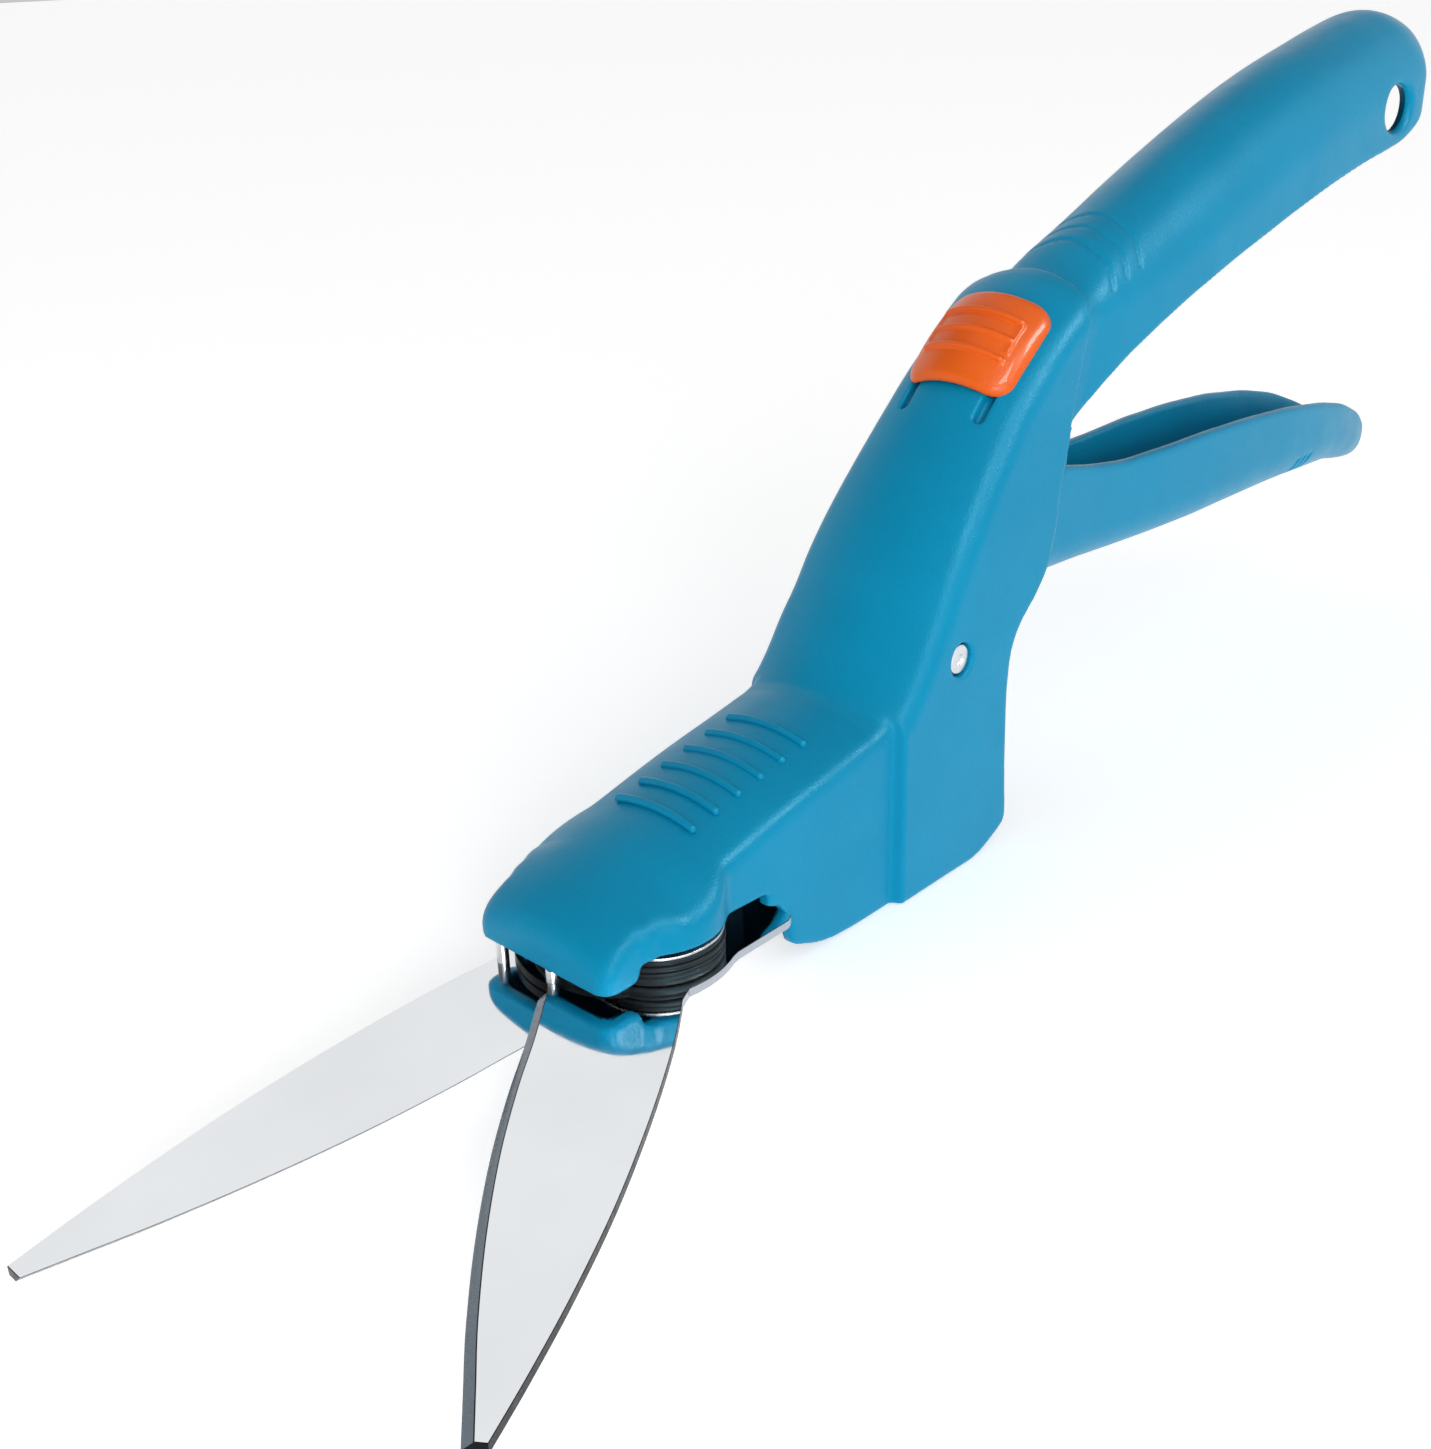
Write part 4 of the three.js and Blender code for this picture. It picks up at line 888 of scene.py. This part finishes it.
STOP_PIN_AT = (15.65, -11.25)
HEEL_PIN_AT = (16.2 * math.cos(math.radians(4)), 16.2 * math.sin(math.radians(4)))
SMALL_PIN_TOP = [(1, 3.75), (0.92, 3.95), (0.7, 4.08), (0, 4.1)]
LEVER_PIN_END = [(2.7, 16.6), (2.62, 16.9), (2.3, 17.1), (1.0, 17.05), (0.7, 16.7), (0, 16.7)]
BOLT = [(0, -3.6), (1.5, -3.6), (1.7, -4.3), (4.4, -4.35), (4.9, -4.1), (5.45, -3.4),
        (5.6, -2.9), (5.6, -1.95), (5.45, -1.75), (3.0, -1.75), (3.0, 11.0), (2.4, 11.6),
        (0, 11.6)]


def build_pins():
    lever_pin = [(r, -h) for r, h in LEVER_PIN_END[::-1]] + LEVER_PIN_END
    zinc_piece("lever_pin_zinc", lever_pin, LEVER_PIN_AT, "y", "housing", ["lever_pin"])
    zinc_piece("stop_pin_zinc", [(0, -BLADE_T), (1, -BLADE_T)] + SMALL_PIN_TOP, STOP_PIN_AT, "z",
               "housing", ["closing_stop_pin"])
    zinc_piece("heel_pin_zinc", [(0, 1.8), (1, 1.8)] + SMALL_PIN_TOP, HEEL_PIN_AT, "z",
               "moving_blade", ["heel_pin"])
    zinc_piece("pivot_bolt_zinc", BOLT, (0, 0), "z", "housing", ["pivot_bolt"])


# ---------------------------------------------------------------- materials
# Noise scales are per metre, so 1000 gives features of about 1 mm.
def material(name):
    """A material with a bare Principled shader: the material, its node tree and the shader."""
    m = bpy.data.materials.new(name)
    m.use_nodes = True
    nt = m.node_tree
    nt.nodes.clear()
    out = nt.nodes.new("ShaderNodeOutputMaterial")
    bsdf = nt.nodes.new("ShaderNodeBsdfPrincipled")
    nt.links.new(bsdf.outputs[0], out.inputs[0])
    return m, nt, bsdf


def noise(nt, scale, detail, rough=0.5, stretch=None):
    """Value of a noise texture fixed to the object, drawn out where stretch is below 1."""
    place = nt.nodes.new("ShaderNodeTexCoord").outputs["Object"]
    if stretch:
        mapping = nt.nodes.new("ShaderNodeMapping")
        mapping.inputs["Scale"].default_value = stretch
        nt.links.new(place, mapping.inputs["Vector"])
        place = mapping.outputs[0]
    n = nt.nodes.new("ShaderNodeTexNoise")
    n.inputs["Scale"].default_value = scale
    n.inputs["Detail"].default_value = detail
    n.inputs["Roughness"].default_value = rough
    nt.links.new(place, n.inputs["Vector"])
    return n.outputs[0]


def remap(nt, socket, to_low, to_high, low=0.0, high=1.0):
    """The socket's range low to high, taken to to_low to to_high and clamped there."""
    r = nt.nodes.new("ShaderNodeMapRange")
    r.inputs["From Min"].default_value = low
    r.inputs["From Max"].default_value = high
    r.inputs["To Min"].default_value = to_low
    r.inputs["To Max"].default_value = to_high
    nt.links.new(socket, r.inputs["Value"])
    return r.outputs[0]


def mix_color(nt, factor, a, b):
    m = nt.nodes.new("ShaderNodeMix")
    m.data_type = "RGBA"
    m.inputs["A"].default_value = (*a, 1)
    m.inputs["B"].default_value = (*b, 1)
    nt.links.new(factor, m.inputs["Factor"])
    return m.outputs["Result"]


def bump(nt, bsdf, height, strength, distance):
    """Bump from a height socket. distance is in metres."""
    b = nt.nodes.new("ShaderNodeBump")
    b.inputs["Strength"].default_value = strength
    b.inputs["Distance"].default_value = distance
    nt.links.new(height, b.inputs["Height"])
    nt.links.new(b.outputs[0], bsdf.inputs["Normal"])


def plastic(name, base, dark, rough, grain, tint=(1, 1, 1), coat=0.0):
    """Moulded plastic: clouds between two tones, patches of gloss and a fine spark-eroded grain."""
    m, nt, bsdf = material(name)
    cloud = remap(nt, noise(nt, 45, 3, 0.6), 0, 1, 0.35, 0.65)
    nt.links.new(mix_color(nt, cloud, base, dark), bsdf.inputs["Base Color"])
    gloss = remap(nt, noise(nt, 160, 4, 0.6), rough - 0.05, rough + 0.06, 0.3, 0.7)
    nt.links.new(gloss, bsdf.inputs["Roughness"])
    bump(nt, bsdf, noise(nt, 2600, 2), grain * 2, 0.00015)
    bsdf.inputs["Specular IOR Level"].default_value = 0.17
    bsdf.inputs["Specular Tint"].default_value = (*tint, 1)
    bsdf.inputs["Coat Weight"].default_value = coat
    return m


def steel(name, base, rough, streak, axis, scale, bump_strength):
    """Metal with fine streaks drawn out along an axis (0 x, 1 y, 2 z)."""
    m, nt, bsdf = material(name)
    bsdf.inputs["Metallic"].default_value = 1.0
    lines = noise(nt, scale, 5, stretch=[0.03 if i == axis else 1.0 for i in range(3)])
    cloud = remap(nt, noise(nt, 30, 3, 0.6), 0, 1, 0.3, 0.7)
    dull = tuple(c * 0.93 for c in base)
    nt.links.new(mix_color(nt, cloud, base, dull), bsdf.inputs["Base Color"])
    gloss = remap(nt, lines, max(rough - streak, 0.01), rough + streak, 0.3, 0.7)
    nt.links.new(gloss, bsdf.inputs["Roughness"])
    bump(nt, bsdf, lines, bump_strength, 0.00003)
    return m


BLUE_TINT = (0.35, 0.85, 1.0)   # reflections off the blue plastic
BLUE = plastic("blue_moulding", (0.002, 0.240, 0.425), (0.002, 0.225, 0.402), 0.33, 0.22,
               BLUE_TINT)
ORANGE = plastic("orange_moulding", (0.76, 0.112, 0.004), (0.70, 0.100, 0.004), 0.32, 0.12,
                 coat=0.15)
# Darker blue for the housing's inner faces: painted shade of the hollow, the same plastic as
# outside.
BLUE_PAINTED_SHADE = plastic("blue_moulding_painted_shade", (0.001, 0.050, 0.095), (0.001, 0.045, 0.088),
                      0.45, 0.3, BLUE_TINT)
BLACK = plastic("black_moulding", (0.012, 0.012, 0.014), (0.018, 0.018, 0.02), 0.38, 0.15,
                BLUE_TINT)
BLADE = steel("polished_blade_steel", (0.80, 0.82, 0.84), 0.06, 0.02, 0, 700, 0.02)
# Ground bevel: its rougher grind and streaks are its own, its dark bluish tone is painted shade.
GROUND_PAINTED_SHADE = steel("ground_edge_painted_shade", (0.13, 0.16, 0.19), 0.26, 0.08, 1, 1500, 0.12)
# Sheared sides and rims: steel painted nearly black, standing in for their shade.
CUT_SIDE_PAINTED_SHADE = steel("sheared_side_painted_shade", (0.009, 0.010, 0.012), 0.34, 0.08, 2, 1800, 0.15)
BARE_SIDE = steel("bare_side_steel", (0.50, 0.52, 0.56), 0.24, 0.08, 2, 1800, 0.12)
ZINC = steel("bright_zinc", (0.72, 0.74, 0.77), 0.22, 0.06, 2, 1100, 0.08)
SPRING = steel("spring_steel", (0.55, 0.56, 0.58), 0.28, 0.07, 2, 1400, 0.08)
SLOT_MATERIAL = {"blue_plastic": BLUE, "orange_plastic": ORANGE, "black_plastic": BLACK,
                 "blade_steel": BLADE, "zinc_steel": ZINC, "spring_steel": SPRING}


def dress(ob, *mats):
    if len(ob.data.materials):  # clearing an empty list would reset the faces' material numbers
        ob.data.materials.clear()
    for m in mats:
        ob.data.materials.append(m)


def dress_cad_nodes():
    slots = {s["node"]: s["material_slot"] for s in frame["record"]["subparts"]}
    for node, ob in frame["nodes"].items():
        dress(ob, SLOT_MATERIAL[slots[node]])


# ---------------------------------------------------------------- stage
ROOM_LIGHT = 0.56               # what surfaces are lit by, from all round
# What reflections find instead. Heights are the z of a direction, 0 at the horizon and 1 overhead.
CEILING = 0.12                  # dark, above white walls that end between these heights
WALL_TOP = (0.45, 0.60)
PANEL_WAY = (-0.454, -0.891)    # a white panel behind the handle, which the blades mirror
PANEL_EDGE = (0.906, 0.951)
OVERHEAD = 0.85                 # a lighter ceiling overhead
OVERHEAD_Z = (0.84, 0.92)
SIDE_CEILING = 0.75             # and over the +Y side
SIDE_CEILING_Y = (0.05, 0.35)
FLOOR_HALF_M = 6.0
FLOOR_Z = -9.5                  # just under the skirt's flat edge


def build_world():
    """Even white light, with a room of its own for reflections."""
    world = bpy.data.worlds.new("studio")
    bpy.context.scene.world = world
    world.use_nodes = True
    nt = world.node_tree
    background = nt.nodes["Background"]
    background.inputs[0].default_value = (1, 1, 1, 1)
    way = nt.nodes.new("ShaderNodeSeparateXYZ")
    nt.links.new(nt.nodes.new("ShaderNodeTexCoord").outputs["Generated"], way.inputs[0])
    x, y, z = (way.outputs[axis] for axis in "XYZ")

    def maths(operation, *values):
        node = nt.nodes.new("ShaderNodeMath")
        node.operation = operation
        for socket, value in zip(node.inputs, values):
            if isinstance(value, float):
                socket.default_value = value
            else:
                nt.links.new(value, socket)
        return node.outputs[0]

    toward = maths("ADD", maths("MULTIPLY", x, PANEL_WAY[0]), maths("MULTIPLY", y, PANEL_WAY[1]))
    level = maths("SQRT", maths("SUBTRACT", 1.0, maths("MULTIPLY", z, z)))
    seen = remap(nt, z, 1.0, CEILING, *WALL_TOP)
    for other in (remap(nt, maths("DIVIDE", toward, level), 0.0, 1.0, *PANEL_EDGE),
                  remap(nt, z, 0.0, OVERHEAD, *OVERHEAD_Z),
                  remap(nt, y, 0.0, SIDE_CEILING, *SIDE_CEILING_Y)):
        seen = maths("MAXIMUM", seen, other)
    pick = nt.nodes.new("ShaderNodeMix")
    pick.data_type = "FLOAT"
    pick.inputs["A"].default_value = ROOM_LIGHT
    glossy = nt.nodes.new("ShaderNodeLightPath").outputs["Is Glossy Ray"]
    nt.links.new(glossy, pick.inputs["Factor"])
    nt.links.new(seen, pick.inputs["B"])
    nt.links.new(pick.outputs["Result"], background.inputs[1])


def build_floor():
    """Pale paper that glows a little, so that it stays white around the object."""
    half, z = FLOOR_HALF_M, (FLOOR_Z + PLANE_Z) * MM
    me = bpy.data.meshes.new("floor")
    me.from_pydata([(-half, -half, z), (half, -half, z), (half, half, z), (-half, half, z)], [],
                   [(0, 1, 2, 3)])
    floor = bpy.data.objects.new("floor", me)
    bpy.context.scene.collection.objects.link(floor)
    paper, _, bsdf = material("floor_paper")
    bsdf.inputs["Base Color"].default_value = (0.94, 0.94, 0.94, 1)
    bsdf.inputs["Roughness"].default_value = 0.9
    bsdf.inputs["Emission Color"].default_value = (1, 1, 1, 1)
    bsdf.inputs["Emission Strength"].default_value = 0.40
    dress(floor, paper)


LIGHTS_AIM = (-0.08, 0, 0.05)   # metres
LIGHTS = [  # name, place in metres, size in metres, watts, whether it also lights surfaces
    ("side", (0.52, 1.14, 0.20), (1.0, 0.7), 7, True),
    ("key", (0.60, 0.88, 0.46), (0.35, 0.35), 3.2, True),
    # Seen in reflections alone: these draw the pale lines along the creases of nose and dome.
    ("nose_crease", (-0.48, 0.86, 0.78), (0.35, 0.35), 13, False),
    ("dome_crease", (0.22, 0.77, 0.89), (0.35, 0.35), 9, False)]


def build_lights():
    for name, at, size, watts, lights_surfaces in LIGHTS:
        light = bpy.data.lights.new(name, "AREA")
        light.shape = "RECTANGLE"
        light.size, light.size_y = size
        light.energy = watts
        ob = bpy.data.objects.new(name, light)
        ob.location = at
        aim = Vector(LIGHTS_AIM) - Vector(at)
        ob.rotation_euler = aim.to_track_quat("-Z", "Y").to_euler()
        ob.visible_diffuse = lights_surfaces
        bpy.context.scene.collection.objects.link(ob)


CAMERA_AT = (0.15865, 0.17242, 0.14758)      # metres, in the blade frame
CAMERA_RIGHT = (-0.67872, 0.73391, -0.02665)
CAMERA_UP = (-0.32655, -0.26909, 0.90606)
CAMERA_BACK = (0.65780, 0.62367, 0.42230)
FOCAL_PX = 1700
FRAME_PX = 1449                 # the longer side of the frame
SENSOR = 36


def camera():
    view = bpy.context.scene.view_settings
    view.view_transform = "Standard"
    view.look = "None"
    cam = bpy.data.cameras.new("photo_view")
    cam.sensor_width = SENSOR
    cam.sensor_fit = "AUTO"
    cam.lens = FOCAL_PX / FRAME_PX * SENSOR
    cam.clip_start = 0.01
    ob = bpy.data.objects.new("photo_view", cam)
    m = Matrix((CAMERA_RIGHT, CAMERA_UP, CAMERA_BACK)).transposed().to_4x4()
    x, y, z = CAMERA_AT
    m.translation = (x, y, z + PLANE_Z * MM)
    ob.matrix_world = m
    bpy.context.scene.collection.objects.link(ob)
    bpy.context.scene.camera = ob


dress_cad_nodes()
build_housing()
build_lever()
build_slider()
build_grip_ribs()
build_upper_blade()
build_lower_blade()
build_rings()
build_driver_disc()
build_pins()
build_return_spring()
build_world()
build_floor()
build_lights()
camera()
